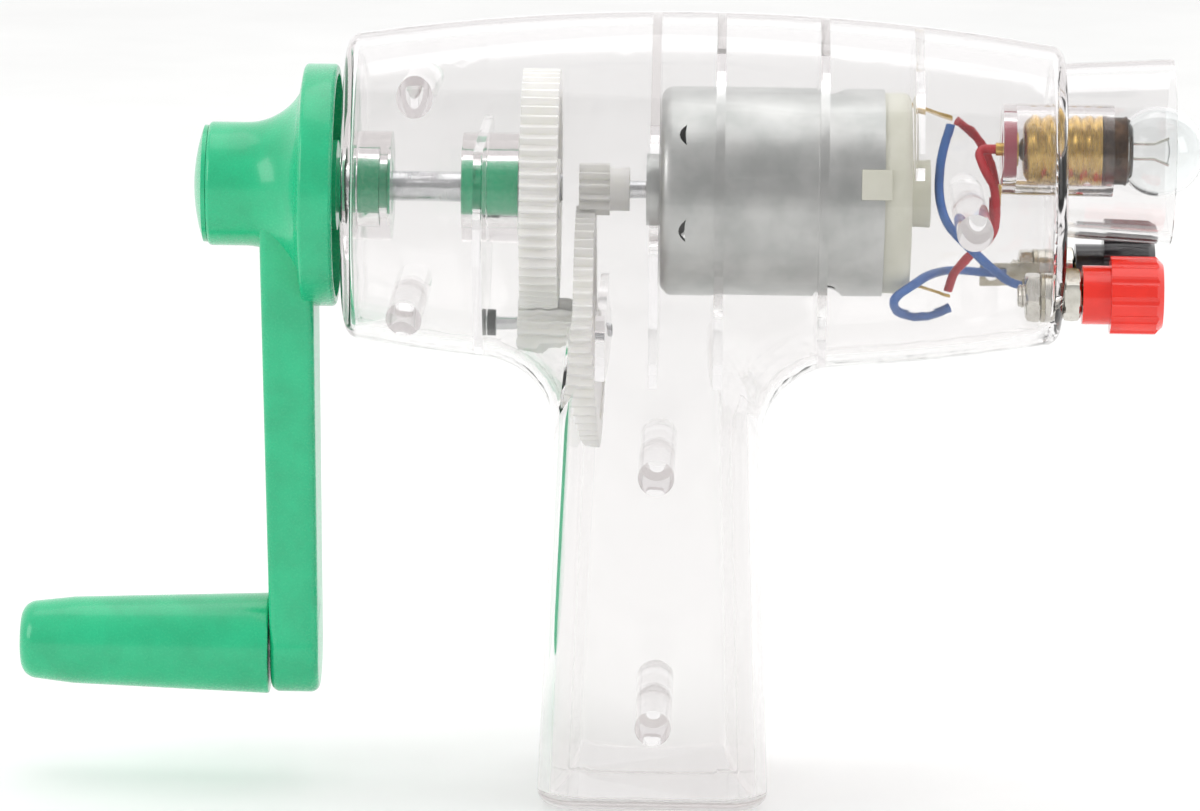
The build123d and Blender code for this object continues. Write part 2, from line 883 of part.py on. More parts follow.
with BuildPart() as magnet_form:
    with BuildSketch(station(magnet_left)):
        for side in (0, 180):
            with BuildLine():
                outer_arc = CenterArc(
                    (0, 0), can_bore - seated, side - magnet_span / 2, magnet_span
                )
                inner_arc = CenterArc(
                    (0, 0), can_bore - magnet_thickness, side - magnet_span / 2, magnet_span
                )
                Line(outer_arc @ 0, inner_arc @ 0)
                Line(outer_arc @ 1, inner_arc @ 1)
            make_face()
    extrude(amount=magnet_right - magnet_left)
motor_magnets = motor_set(magnet_form)
motor_magnets.label = "motor_magnets"
export_step(motor_magnets, "parts/motor_magnets.step")

with BuildPart() as terminal_form:
    with BuildSketch(side_plane()):
        for side in (-1, 1):
            with BuildLine():
                outer = side * (tag_height + tag_thickness / 2)
                inner = side * (tag_height - tag_thickness / 2)
                tip_x = motor_rear + tag_reach
                arm_left = brush_x - tag_thickness
                brush_top = side * (commutator_radius + running + brush_height)
                Polyline(
                    (arm_left, brush_top),
                    (arm_left, outer),
                    (motor_rear, outer),
                    (tip_x, outer - tag_bend),
                    (tip_x, inner - tag_bend),
                    (motor_rear, inner),
                    (brush_x, inner),
                    (brush_x, brush_top),
                    close=True,
                )
            make_face()
    extrude(amount=tag_width / 2, both=True)
motor_terminals = motor_set(terminal_form)
motor_terminals.label = "motor_terminals"
export_step(motor_terminals, "parts/motor_terminals.step")

with BuildPart() as brush_form:
    with BuildSketch(side_plane()):
        for side in (-1, 1):
            middle = side * (commutator_radius + running + brush_height / 2)
            with Locations((brush_x - tag_thickness / 2, middle)):
                Rectangle(1.5 * tag_width, brush_height)
    extrude(amount=tag_width / 2, both=True)
motor_brushes = motor_set(brush_form)
motor_brushes.label = "motor_brushes"
export_step(motor_brushes, "parts/motor_brushes.step")

with BuildPart() as front_motor_bush:
    add(tube(-front_boss, can_wall, motor_bush_radius, motor_shaft_radius + running))
front_motor_bush.part.label = "front_motor_bush"
export_step(front_motor_bush.part, "parts/front_motor_bush.step")

with BuildPart() as rear_motor_bush:
    add(
        tube(
            can_length,
            motor_rear + rear_boss - face_gap,
            motor_bush_radius,
            motor_shaft_radius + running,
        )
    )
rear_motor_bush.part.label = "rear_motor_bush"
export_step(rear_motor_bush.part, "parts/rear_motor_bush.step")

with BuildPart() as motor_shaft:
    add(rod(motor_shaft_left, motor_shaft_right, motor_shaft_radius))
    ends = motor_shaft.faces().filter_by(GeomType.PLANE)
    chamfer(ends.edges(), length=motor_shaft_radius / 5)
motor_shaft.part.label = "motor_shaft"
export_step(motor_shaft.part, "parts/motor_shaft.step")

core_radius = can_bore - magnet_thickness - air_gap
pole_angles = (90, 210, 330)

with BuildPart() as armature_core:
    with BuildSketch(station(core_left)):
        Circle(core_hub_radius)
        for angle in pole_angles:
            with Locations(Rotation(0, 0, angle)):
                Rectangle(
                    core_radius - core_shoe / 2, core_arm, align=(Align.MIN, Align.CENTER)
                )
            with BuildLine():
                shoe_start = angle - core_shoe_span / 2
                outer_arc = CenterArc((0, 0), core_radius, shoe_start, core_shoe_span)
                inner_arc = CenterArc(
                    (0, 0), core_radius - core_shoe, shoe_start, core_shoe_span
                )
                Line(outer_arc @ 0, inner_arc @ 0)
                Line(outer_arc @ 1, inner_arc @ 1)
            make_face()
        Circle(motor_shaft_radius + seated, mode=Mode.SUBTRACT)
    extrude(amount=core_right - core_left)
armature_core.part.label = "armature_core"
export_step(armature_core.part, "parts/armature_core.step")

with BuildPart() as armature_windings:
    core_middle = (core_left + core_right) / 2
    core_length = core_right - core_left
    for angle in pole_angles:
        pole = Plane(
            origin=(core_middle, 0, axis_z),
            x_dir=(1, 0, 0),
            z_dir=(0, cos(radians(angle)), sin(radians(angle))),
        )
        with BuildSketch(pole.offset(core_hub_radius + seated)):
            Rectangle(core_length + 2 * coil_thickness, core_arm + 2 * coil_thickness)
            Rectangle(core_length + 2 * seated, core_arm + 2 * seated, mode=Mode.SUBTRACT)
        extrude(amount=core_radius - core_shoe - core_hub_radius - 1.4)
armature_windings.part.label = "armature_windings"
export_step(armature_windings.part, "parts/armature_windings.step")

with BuildPart() as commutator:
    add(
        tube(
            commutator_left,
            commutator_right,
            commutator_radius,
            motor_shaft_radius + seated,
        )
    )
commutator.part.label = "commutator"
export_step(commutator.part, "parts/commutator.step")

# ---------------------------------------------------------------- lamp

seat_right = holder_left + holder_seat
insulator_left = seat_right - insulator
contact_right = seat_right + contact_head
tip_left = contact_right + running
base_left = tip_left + bulb_tip
base_right = base_left + bulb_base_length
collar_right = base_right + bulb_collar

with BuildPart() as lamp_insulator:
    add(
        tube(
            insulator_left,
            seat_right,
            insulator_radius,
            contact_rivet_radius + seated,
            z=lamp_z,
        )
    )
lamp_insulator.part.label = "lamp_insulator"
export_step(lamp_insulator.part, "parts/lamp_insulator.step")

with BuildPart() as lamp_centre_contact:
    add(rod(holder_left - insulator / 2, contact_right, contact_rivet_radius, z=lamp_z))
    add(rod(seat_right, contact_right, contact_head_radius, z=lamp_z))
lamp_centre_contact.part.label = "lamp_centre_contact"
export_step(lamp_centre_contact.part, "parts/lamp_centre_contact.step")

with BuildPart() as lamp_side_contact:
    strip_top = lamp_z - bulb_base_radius - running
    tail_height = holder_radius - bulb_base_radius + side_contact_width / 2
    with BuildSketch(side_plane(z=strip_top)):
        with BuildLine():
            tail_left = holder_left - side_contact_thickness - seated
            Polyline(
                (tail_left, 0),
                (side_contact_right, 0),
                (side_contact_right, -side_contact_thickness),
                (holder_left - seated, -side_contact_thickness),
                (holder_left - seated, -tail_height),
                (tail_left, -tail_height),
                close=True,
            )
        make_face()
    extrude(amount=side_contact_width / 2, both=True)
lamp_side_contact.part.label = "lamp_side_contact"
export_step(lamp_side_contact.part, "parts/lamp_side_contact.step")

with BuildPart() as bulb_tip_piece:
    add(rod(tip_left, base_left, bulb_tip_radius, z=lamp_z))
    fillet(bulb_tip_piece.faces().sort_by(Axis.X)[0].edges(), bulb_tip / 2)
bulb_tip_piece.part.label = "bulb_tip"
export_step(bulb_tip_piece.part, "parts/bulb_tip.step")

with BuildPart() as bulb_base:
    bore = bulb_base_radius - bulb_base_wall
    collar_bore = glass_neck_radius + running
    add(
        turned(
            [
                (base_left, 0),
                (base_left, bulb_tip_radius),
                (base_left + bulb_tip, bulb_base_radius),
                (base_right, bulb_base_radius),
                (base_right, bulb_collar_radius),
                (collar_right, bulb_collar_radius),
                (collar_right, collar_bore),
                (base_right - bulb_base_wall, collar_bore),
                (base_right - bulb_base_wall, bore),
                (base_left + 2 * bulb_tip, bore),
                (base_left + 2 * bulb_tip, 0),
            ],
            z=lamp_z,
        )
    )
bulb_base.part.label = "bulb_base"
export_step(bulb_base.part, "parts/bulb_base.step")


def glass_form(inset):
    """The bulb's glass as a solid, or the space inside it at an inset."""
    neck_left = base_right + inset
    neck_radius = glass_neck_radius - inset
    ball = globe_radius - inset
    shoulder_x = globe_x - (ball**2 - neck_radius**2) ** 0.5
    with BuildPart() as form:
        with BuildSketch(side_plane(z=lamp_z)):
            with BuildLine():
                globe = ThreePointArc(
                    (shoulder_x, neck_radius), (globe_x, ball), (globe_x + ball, 0)
                )
                Polyline(globe @ 1, (neck_left, 0), (neck_left, neck_radius), globe @ 0)
            make_face()
        revolve(axis=long_axis(z=lamp_z))
    return form.part


with BuildPart() as bulb_glass:
    add(glass_form(0))
    add(glass_form(glass_wall), mode=Mode.SUBTRACT)
bulb_glass.part.label = "bulb_glass"
export_step(bulb_glass.part, "parts/bulb_glass.step")

bead_right = collar_right + bead_length

with BuildPart() as bulb_leads:
    for side in (-1, 1):
        root = (collar_right, side * lead_spread)
        bend = (bead_right + 0.6 * lead_length, side * lead_spread)
        tip = (bead_right + lead_length, side * lead_tip_spread)
        with BuildLine(side_plane(z=lamp_z)) as lead_line:
            Polyline(root, bend, tip)
        with BuildSketch(station(collar_right, z=lamp_z + side * lead_spread)):
            Circle(lead_radius)
        sweep(path=lead_line.wires()[0], transition=Transition.ROUND)
bulb_leads.part.label = "bulb_leads"
export_step(bulb_leads.part, "parts/bulb_leads.step")

with BuildPart() as bulb_bead:
    bead_left = base_right + glass_wall
    add(rod(bead_left, bead_right, glass_neck_radius - glass_wall - seated, z=lamp_z))
    fillet(bulb_bead.faces().sort_by(Axis.X)[-1].edges(), bead_radius)
    add(bulb_leads.part, mode=Mode.SUBTRACT)
bulb_bead.part.label = "bulb_bead"
export_step(bulb_bead.part, "parts/bulb_bead.step")

with BuildPart() as bulb_filament:
    filament_x = bead_right + lead_length
    with BuildSketch(Plane.XY.offset(lamp_z - lead_tip_spread + lead_radius)):
        with Locations((filament_x - lead_radius, 0)):
            Circle(filament_radius)
    extrude(amount=2 * (lead_tip_spread - lead_radius))
    add(bulb_leads.part, mode=Mode.SUBTRACT)
bulb_filament.part.label = "bulb_filament"
export_step(bulb_filament.part, "parts/bulb_filament.step")

# ---------------------------------------------------------------- binding posts

posts = ((near_post_y, red_lug_tail), (far_post_y, black_lug_tail))
cap_left = barrel_right + outer_nut + cap_gap
insert_left = cap_left + cap_gap


def hex_nuts(left, thickness, across_flats, turn):
    """A nut on each stud, turned by an angle in degrees."""
    with BuildPart() as nuts:
        for post_y in (near_post_y, far_post_y):
            with BuildSketch(station(left, post_y, post_z)):
                RegularPolygon(across_flats / 2, 6, major_radius=False, rotation=turn)
                Circle(stud_radius + seated, mode=Mode.SUBTRACT)
            extrude(amount=thickness)
    return nuts


outer_nuts = hex_nuts(barrel_right, outer_nut, outer_nut_across_flats, 30)
outer_nuts.part.label = "outer_nuts"
export_step(outer_nuts.part, "parts/outer_nuts.step")

inner_nuts = hex_nuts(ring_left - inner_nut, inner_nut, inner_nut_across_flats, 0)
inner_nuts.part.label = "inner_nuts"
export_step(inner_nuts.part, "parts/inner_nuts.step")

with BuildPart() as post_washers:
    for post_y in (near_post_y, far_post_y):
        add(
            tube(
                washer_left,
                wall_face,
                lug_ring_radius,
                stud_radius + seated,
                post_y,
                post_z,
            )
        )
post_washers.part.label = "post_washers"
export_step(post_washers.part, "parts/post_washers.step")

for name, post_y in (("red", near_post_y), ("black", far_post_y)):
    with BuildPart() as stud:
        add(rod(stud_left, stud_right, stud_radius, post_y, post_z))
        ends = stud.faces().filter_by(GeomType.PLANE)
        chamfer(ends.edges(), length=stud_radius / 5)
    stud.part.label = f"{name}_post_stud"
    export_step(stud.part, f"parts/{name}_post_stud.step")

with BuildPart() as solder_lugs:
    for post_y, tail in posts:
        toward_middle = 1 if post_y < 0 else -1
        tail_y = post_y + toward_middle * (lug_reach - lug_thickness / 2)
        with BuildSketch(station(ring_left, post_y, post_z)):
            Circle(lug_ring_radius)
            with Locations((toward_middle * lug_reach / 2, 0)):
                Rectangle(lug_reach, lug_tail_height)
            Circle(stud_radius + seated, mode=Mode.SUBTRACT)
        extrude(amount=lug_thickness)
        with BuildSketch(side_plane(tail_y, post_z)):
            with Locations((ring_left + lug_thickness, 0)):
                Rectangle(
                    tail + lug_thickness, lug_tail_height, align=(Align.MAX, Align.CENTER)
                )
            with Locations((ring_left - tail + lug_tail_height / 2, 0)):
                Circle(min(lug_eye_radius, tail / 3), mode=Mode.SUBTRACT)
        extrude(amount=lug_thickness / 2, both=True)
solder_lugs.part.label = "solder_lugs"
export_step(solder_lugs.part, "parts/solder_lugs.step")

for name, post_y in (("red", near_post_y), ("black", far_post_y)):
    with BuildPart() as insert:
        add(
            tube(
                insert_left,
                insert_left + insert_length,
                insert_radius,
                stud_radius + running,
                post_y,
                post_z,
            )
        )
    insert.part.label = f"{name}_cap_insert"
    export_step(insert.part, f"parts/{name}_cap_insert.step")

    with BuildPart() as cap:
        cap_right = cap_left + post_cap_length
        neck_right = cap_left + post_neck_length
        add(rod(cap_left, neck_right, post_neck_radius, post_y, post_z))
        with BuildSketch(station(neck_right, post_y, post_z)):
            Circle(post_grip_radius)
            flute_ring = post_grip_radius + post_flute_radius - post_flute_depth
            with PolarLocations(flute_ring, post_flutes):
                Circle(post_flute_radius, mode=Mode.SUBTRACT)
        extrude(amount=post_cap_length - post_neck_length)
        # a chamfer round the outer end
        add(
            turned(
                [
                    (cap_right, post_grip_radius - post_chamfer),
                    (cap_right, 2 * post_grip_radius),
                    (cap_right - post_chamfer, 2 * post_grip_radius),
                    (cap_right - post_chamfer, post_grip_radius),
                ],
                post_y,
                post_z,
            ),
            mode=Mode.SUBTRACT,
        )
        add(
            rod(
                cap_left,
                insert_left + insert_length + face_gap,
                insert_radius + seated,
                post_y,
                post_z,
            ),
            mode=Mode.SUBTRACT,
        )
    cap.part.label = f"{name}_cap"
    export_step(cap.part, f"parts/{name}_cap.step")

# ---------------------------------------------------------------- wires


def wire(route):
    """An insulated wire: straight runs joined by arcs as large as the runs allow."""
    points = [Vector(*place) for place in route]
    runs = [end - start for start, end in zip(points, points[1:])]
    radii = []
    for one, two in zip(runs, runs[1:]):
        turn = radians(one.get_angle(two))
        radii.append(0.45 * min(one.length, two.length) / tan(turn / 2))
    with BuildPart() as piece:
        with BuildLine() as line:
            FilletPolyline(*points, radius=radii)
        with BuildSketch(Plane(origin=points[0], z_dir=runs[0])):
            Circle(wire_radius)
        sweep(path=line.wires()[0])
    ideal = line.wires()[0].length * pi * wire_radius**2
    print("radii", [round(r, 1) for r in radii], "volume ratio", round(piece.part.volume / ideal, 4))
    return piece


# Where a wire lies against the face of a post's lug, and of the side contact's tail.
lug_side = lug_reach + wire_radius + seated
side_wire_x = holder_left - side_contact_thickness - 2 * seated - wire_radius

blue_wire_to_red_post = wire(
    [
        (38.4, 1.6, 89.9),
        (37.2, 0.2, 86.0),
        (36.8, -1.6, 81.2),
        (37.8, -3.8, 77.3),
        (41.0, -5.4, 74.3),
        (44.2, -5.6, 71.6),
        (46.8, near_post_y + lug_side, 69.6),
        (49.7, near_post_y + lug_side, 69.2),
    ]
)
blue_wire_to_red_post.part.label = "blue_wire_to_red_post"
export_step(blue_wire_to_red_post.part, "parts/blue_wire_to_red_post.step")

blue_wire_to_black_post = wire(
    [
        (38.6, -2.9, 66.0),
        (36.4, -3.4, 65.0),
        (33.6, -4.9, 65.0),
        (31.2, -6.8, 66.2),
        (30.9, -8.9, 68.2),
        (33.2, -8.9, 69.8),
        (35.6, -4.4, 70.6),
        (38.2, 0.6, 70.4),
        (40.6, 3.6, 69.9),
        (43.2, far_post_y - lug_side, 69.4),
        (46.4, far_post_y - lug_side, 69.2),
    ]
)
blue_wire_to_black_post.part.label = "blue_wire_to_black_post"
export_step(blue_wire_to_black_post.part, "parts/blue_wire_to_black_post.step")

red_wire_to_side_contact = wire(
    [
        (39.2, 2.6, 90.3),
        (41.6, 3.7, 88.6),
        (43.7, 4.0, 85.4),
        (44.7, 3.7, 81.6),
        (44.7, 2.8, 78.6),
        (44.4, 0.8, 77.1),
        (side_wire_x, 0.0, 78.6),
        (side_wire_x, 0.0, 80.4),
    ]
)
red_wire_to_side_contact.part.label = "red_wire_to_side_contact"
export_step(red_wire_to_side_contact.part, "parts/red_wire_to_side_contact.step")

red_wire_to_centre_contact = wire(
    [
        (38.3, -2.6, 68.1),
        (39.0, -2.6, 70.6),
        (41.4, -2.5, 73.2),
        (44.3, -2.3, 75.6),
        (44.6, -2.2, 79.0),
        (44.2, -2.2, 82.4),
        (42.6, -1.7, 84.8),
        (42.0, 0.0, lamp_z),
        (holder_left - insulator / 2 - seated, 0.0, lamp_z),
    ]
)
red_wire_to_centre_contact.part.label = "red_wire_to_centre_contact"
export_step(red_wire_to_centre_contact.part, "parts/red_wire_to_centre_contact.step")
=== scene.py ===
from math import asin, cos, floor, pi, radians, sin, sqrt

import bmesh
import bpy
from mathutils import Matrix, Vector


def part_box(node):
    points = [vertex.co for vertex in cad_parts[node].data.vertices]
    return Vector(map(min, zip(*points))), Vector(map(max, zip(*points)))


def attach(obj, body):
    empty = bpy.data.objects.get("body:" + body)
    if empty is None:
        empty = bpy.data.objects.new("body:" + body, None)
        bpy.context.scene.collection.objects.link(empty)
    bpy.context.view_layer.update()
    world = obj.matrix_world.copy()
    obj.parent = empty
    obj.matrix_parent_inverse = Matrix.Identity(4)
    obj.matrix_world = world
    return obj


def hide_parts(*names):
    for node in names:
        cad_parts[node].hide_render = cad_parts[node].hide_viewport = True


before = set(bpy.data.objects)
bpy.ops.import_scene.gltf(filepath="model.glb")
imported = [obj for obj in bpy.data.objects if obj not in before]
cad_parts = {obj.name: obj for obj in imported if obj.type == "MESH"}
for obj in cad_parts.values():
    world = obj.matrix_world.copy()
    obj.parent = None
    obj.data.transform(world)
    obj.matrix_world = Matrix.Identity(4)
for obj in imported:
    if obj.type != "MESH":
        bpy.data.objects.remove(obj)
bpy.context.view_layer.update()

bl_info = {
    "name": "Hand crank generator",
    "version": (1, 0, 0),
    "blender": (4, 5, 0),
    "location": "View3D > Sidebar > Generator",
    "description": "Dresses a packed hand crank generator with its finishes and fine pieces",
    "category": "Object",
}

MM = 0.001

# The floor's half width, in metres.
FLOOR_HALF = 4.0

# The motor can's vents: their places round the can in degrees up from its front, how far the
# two curves of a crescent bulge, how deep it is cut, and how far the cutter stands proud.
VENT_ANGLES = (39.5, -14.5, 219.5, 165.5)
VENT_OUTER_BULGE = 0.95
VENT_INNER_BULGE = 0.15
VENT_DEPTH = 2.0
VENT_PROUD = 1.0
VENT_STEPS = 6
WELD_DISTANCE = 0.002

# The binding posts' nuts: the chamfer's length and the round face's share of the flats.
NUT_CHAMFER = 0.28
NUT_FACE = 0.96


# ---------------------------------------------------------------- colour and node helpers


def linear(hex_colour):
    """An sRGB hex colour as linear red, green, blue and alpha."""
    channels = []
    for start in (1, 3, 5):
        c = int(hex_colour[start : start + 2], 16) / 255
        channels.append(c / 12.92 if c <= 0.04045 else ((c + 0.055) / 1.055) ** 2.4)
    return (*channels, 1.0)


def put(tree, kind, inputs=None, **settings):
    """Adds a node with its settings. An input given as a socket is linked, any other is set."""
    made = tree.nodes.new(kind)
    for name, value in settings.items():
        setattr(made, name, value)
    for name, value in (inputs or {}).items():
        if isinstance(value, bpy.types.NodeSocket):
            tree.links.new(value, made.inputs[name])
        else:
            made.inputs[name].default_value = value
    return made


def start_material(name):
    """An empty node material, with its output and the object's own coordinates in metres."""
    material = bpy.data.materials.new(name)
    material.use_nodes = True
    tree = material.node_tree
    tree.nodes.clear()
    output = put(tree, "ShaderNodeOutputMaterial")
    place = put(tree, "ShaderNodeTexCoord").outputs["Object"]
    return material, tree, output, place


def mottle(tree, place, grain, darker, lighter, low=0.35, high=0.65):
    """A colour that wanders between two close shades over a real grain size in metres."""
    cloud = put(
        tree,
        "ShaderNodeTexNoise",
        {"Vector": place, "Scale": 1 / grain, "Detail": 4.0, "Roughness": 0.55},
    )
    ramp = put(tree, "ShaderNodeValToRGB", {"Fac": cloud.outputs["Fac"]})
    ramp.color_ramp.elements[0].position = low
    ramp.color_ramp.elements[0].color = darker
    ramp.color_ramp.elements[1].position = high
    ramp.color_ramp.elements[1].color = lighter
    return cloud, ramp.outputs["Color"]


def spread(tree, source, low, high):
    """A factor mapped to the range from low to high."""
    return put(
        tree,
        "ShaderNodeMapRange",
        {"Value": source, "From Min": 0.3, "From Max": 0.7, "To Min": low, "To Max": high},
    ).outputs["Result"]


def wave_scale(period):
    """The wave texture's scale for a period in metres, as it turns 20 radians a unit."""
    return 2 * pi / 20 / period


def bumped(tree, height, depth, strength=0.5, normal=None):
    """A bump whose height field stands for a real depth in metres."""
    inputs = {"Height": height, "Distance": depth, "Strength": strength}
    if normal is not None:
        inputs["Normal"] = normal
    return put(tree, "ShaderNodeBump", inputs).outputs["Normal"]


# ---------------------------------------------------------------- materials


def clear_styrene_moulded():
    """Clear general purpose polystyrene, moulded in a polished tool."""
    material, tree, output, place = start_material("clear_polystyrene_moulded")
    # Long shallow flow waves left by the mould bend what is seen through the wall a little.
    waves = put(
        tree,
        "ShaderNodeTexNoise",
        {"Vector": place, "Scale": 1 / (9 * MM), "Detail": 1.0, "Roughness": 0.4},
    )
    # Fine handling scratches, about 0.6 mm long marks, that only show in the highlights.
    stretched = put(
        tree,
        "ShaderNodeMapping",
        {"Vector": place, "Scale": (0.25, 1.0, 1.0), "Rotation": (0.0, 0.5, 0.3)},
    )
    scratches = put(
        tree,
        "ShaderNodeTexNoise",
        {"Vector": stretched.outputs["Vector"], "Scale": 1 / (0.6 * MM), "Detail": 3.0},
    )
    shader = put(
        tree,
        "ShaderNodeBsdfPrincipled",
        {
            "Base Color": linear("#F5F4F4"),
            "Roughness": spread(tree, scratches.outputs["Fac"], 0.015, 0.07),
            "IOR": 1.45,
            "Transmission Weight": 1.0,
            "Normal": bumped(tree, waves.outputs["Fac"], 0.05 * MM, 0.25),
        },
    )
    see_through(tree, output, shader, "#F8F7F7")
    return material


def see_through(tree, output, shader, tint):
    """Clear walls cast no hard shadow, and light that crosses many of them goes straight on."""
    straight = put(tree, "ShaderNodeBsdfTransparent", {"Color": linear(tint)})
    ray = put(tree, "ShaderNodeLightPath")
    deep = put(
        tree,
        "ShaderNodeMath",
        {0: ray.outputs["Ray Depth"], 1: 5.5},
        operation="GREATER_THAN",
    )
    either = put(
        tree,
        "ShaderNodeMath",
        {0: ray.outputs["Is Shadow Ray"], 1: deep.outputs[0]},
        operation="MAXIMUM",
    )
    mixed = put(
        tree,
        "ShaderNodeMixShader",
        {0: either.outputs[0], 1: shader.outputs[0], 2: straight.outputs[0]},
    )
    tree.links.new(mixed.outputs[0], output.inputs["Surface"])


def blown_glass():
    """Soda glass, blown: thin, very clear, with a soft wander in its wall."""
    material, tree, output, place = start_material("soda_glass_blown")
    waves = put(
        tree,
        "ShaderNodeTexNoise",
        {"Vector": place, "Scale": 1 / (4 * MM), "Detail": 1.0},
    )
    shader = put(
        tree,
        "ShaderNodeBsdfPrincipled",
        {
            "Base Color": linear("#FAFCFC"),
            "Roughness": 0.01,
            "IOR": 1.5,
            "Transmission Weight": 1.0,
            "Normal": bumped(tree, waves.outputs["Fac"], 0.05 * MM, 0.15),
        },
    )
    see_through(tree, output, shader, "#F7F9F9")
    return material


def moulded_plastic(name, base, shade, roughness, subsurface=0.0, coat=0.0, pore=0.35, ior=1.5):
    """Plastic moulded in its colour: an even tone, tiny pores and a slow ripple from the tool."""
    material, tree, output, place = start_material(name)
    cloud, colour = mottle(tree, place, 6 * MM, linear(shade), linear(base))
    # the fine spark-eroded texture of the tool, drawn at its real grain
    pores = put(
        tree,
        "ShaderNodeTexNoise",
        {"Vector": place, "Scale": 1 / (pore * MM), "Detail": 2.0, "Roughness": 0.6},
    )
    ripple = bumped(tree, cloud.outputs["Fac"], 0.04 * MM, 0.2)
    inputs = {
        "Base Color": colour,
        "Roughness": spread(tree, pores.outputs["Fac"], roughness - 0.02, roughness + 0.03),
        "IOR": ior,
        "Normal": bumped(tree, pores.outputs["Fac"], 0.003 * MM, 0.15, ripple),
    }
    if subsurface:
        inputs["Subsurface Weight"] = subsurface
        inputs["Subsurface Radius"] = (0.8 * MM, 0.8 * MM, 0.7 * MM)
        inputs["Subsurface Scale"] = 1.0
    if coat:
        inputs["Coat Weight"] = coat
        inputs["Coat Roughness"] = 0.06
    shader = put(tree, "ShaderNodeBsdfPrincipled", inputs)
    tree.links.new(shader.outputs[0], output.inputs["Surface"])
    return material


def plated_metal(name, base, shade, roughness, along, mark, grain=0.25, depth=0.006):
    """Metal with the fine lines of how it was made, drawn out along one axis."""
    material, tree, output, place = start_material(name)
    stretch = {"X": (0.05, 1.0, 1.0), "round": (1.0, 0.12, 0.12), "even": (1.0, 1.0, 1.0)}[along]
    drawn = put(tree, "ShaderNodeMapping", {"Vector": place, "Scale": stretch})
    lines = put(
        tree,
        "ShaderNodeTexNoise",
        {
            "Vector": drawn.outputs["Vector"],
            "Scale": 1 / (grain * MM),
            "Detail": 5.0,
            "Roughness": 0.65,
        },
    )
    cloud, colour = mottle(tree, place, mark * MM, linear(shade), linear(base))
    shader = put(
        tree,
        "ShaderNodeBsdfPrincipled",
        {
            "Base Color": colour,
            "Metallic": 1.0,
            "Roughness": spread(tree, lines.outputs["Fac"], roughness - 0.06, roughness + 0.1),
            "Normal": bumped(tree, lines.outputs["Fac"], depth * MM, 0.5),
        },
    )
    tree.links.new(shader.outputs[0], output.inputs["Surface"])
    return material


def wound_copper():
    """Enamelled copper wire wound side by side, with an amber lacquer."""
    material, tree, output, place = start_material("enamelled_copper_wound")
    turns = put(
        tree,
        "ShaderNodeTexWave",
        {"Vector": place, "Scale": wave_scale(0.1886 * MM), "Distortion": 0.6},
        wave_type="RINGS",
        rings_direction="X",
    )
    cloud, colour = mottle(tree, place, 1.2 * MM, linear("#8E4A22"), linear("#C0703A"))
    shader = put(
        tree,
        "ShaderNodeBsdfPrincipled",
        {
            "Base Color": colour,
            "Metallic": 1.0,
            "Roughness": spread(tree, cloud.outputs["Fac"], 0.25, 0.42),
            "Coat Weight": 0.5,
            "Coat Roughness": 0.15,
            "Normal": bumped(tree, turns.outputs["Fac"], 0.15 * MM, 0.9),
        },
    )
    tree.links.new(shader.outputs[0], output.inputs["Surface"])
    return material


def stacked_laminations():
    """Silicon steel sheet, blanked and stacked: a light and a dark band for each 1 mm."""
    material, tree, output, place = start_material("silicon_steel_laminated")
    sheets = put(
        tree,
        "ShaderNodeTexWave",
        {"Vector": place, "Scale": wave_scale(1.0 * MM), "Distortion": 0.2},
        wave_type="BANDS",
        bands_direction="X",
    )
    cloud, colour = mottle(tree, place, 1.5 * MM, linear("#5C5E62"), linear("#7C7F84"))
    shader = put(
        tree,
        "ShaderNodeBsdfPrincipled",
        {
            "Base Color": colour,
            "Metallic": 1.0,
            "Roughness": spread(tree, cloud.outputs["Fac"], 0.35, 0.5),
            "Normal": bumped(tree, sheets.outputs["Fac"], 0.05 * MM, 0.8),
        },
    )
    tree.links.new(shader.outputs[0], output.inputs["Surface"])
    return material


def sintered(name, base, shade, metallic, roughness, grit):
    """Pressed and fired powder: a dull skin with visible grit."""
    material, tree, output, place = start_material(name)
    grains = put(
        tree,
        "ShaderNodeTexVoronoi",
        {"Vector": place, "Scale": 1 / (grit * MM), "Randomness": 1.0},
    )
    cloud, colour = mottle(tree, place, 2 * grit * MM, linear(shade), linear(base))
    shader = put(
        tree,
        "ShaderNodeBsdfPrincipled",
        {
            "Base Color": colour,
            "Metallic": metallic,
            "Roughness": spread(tree, cloud.outputs["Fac"], roughness - 0.08, roughness + 0.08),
            "Normal": bumped(tree, grains.outputs["Distance"], 0.02 * MM, 0.5),
        },
    )
    tree.links.new(shader.outputs[0], output.inputs["Surface"])
    return material


def studio_floor():
    """A matt painted board: pale, with a faint roller grain 1.5 mm across."""
    material, tree, output, place = start_material("painted_board_matt")
    cloud, colour = mottle(tree, place, 60 * MM, linear("#F4F4F3"), linear("#F8F8F7"))
    grain = put(
        tree,
        "ShaderNodeTexNoise",
        {"Vector": place, "Scale": 1 / (1.5 * MM), "Detail": 2.0},
    )
    shader = put(
        tree,
        "ShaderNodeBsdfPrincipled",
        {
            "Base Color": colour,
            "Roughness": 0.75,
            "Normal": bumped(tree, grain.outputs["Fac"], 0.02 * MM, 0.2),
        },
    )
    tree.links.new(shader.outputs[0], output.inputs["Surface"])
    return material


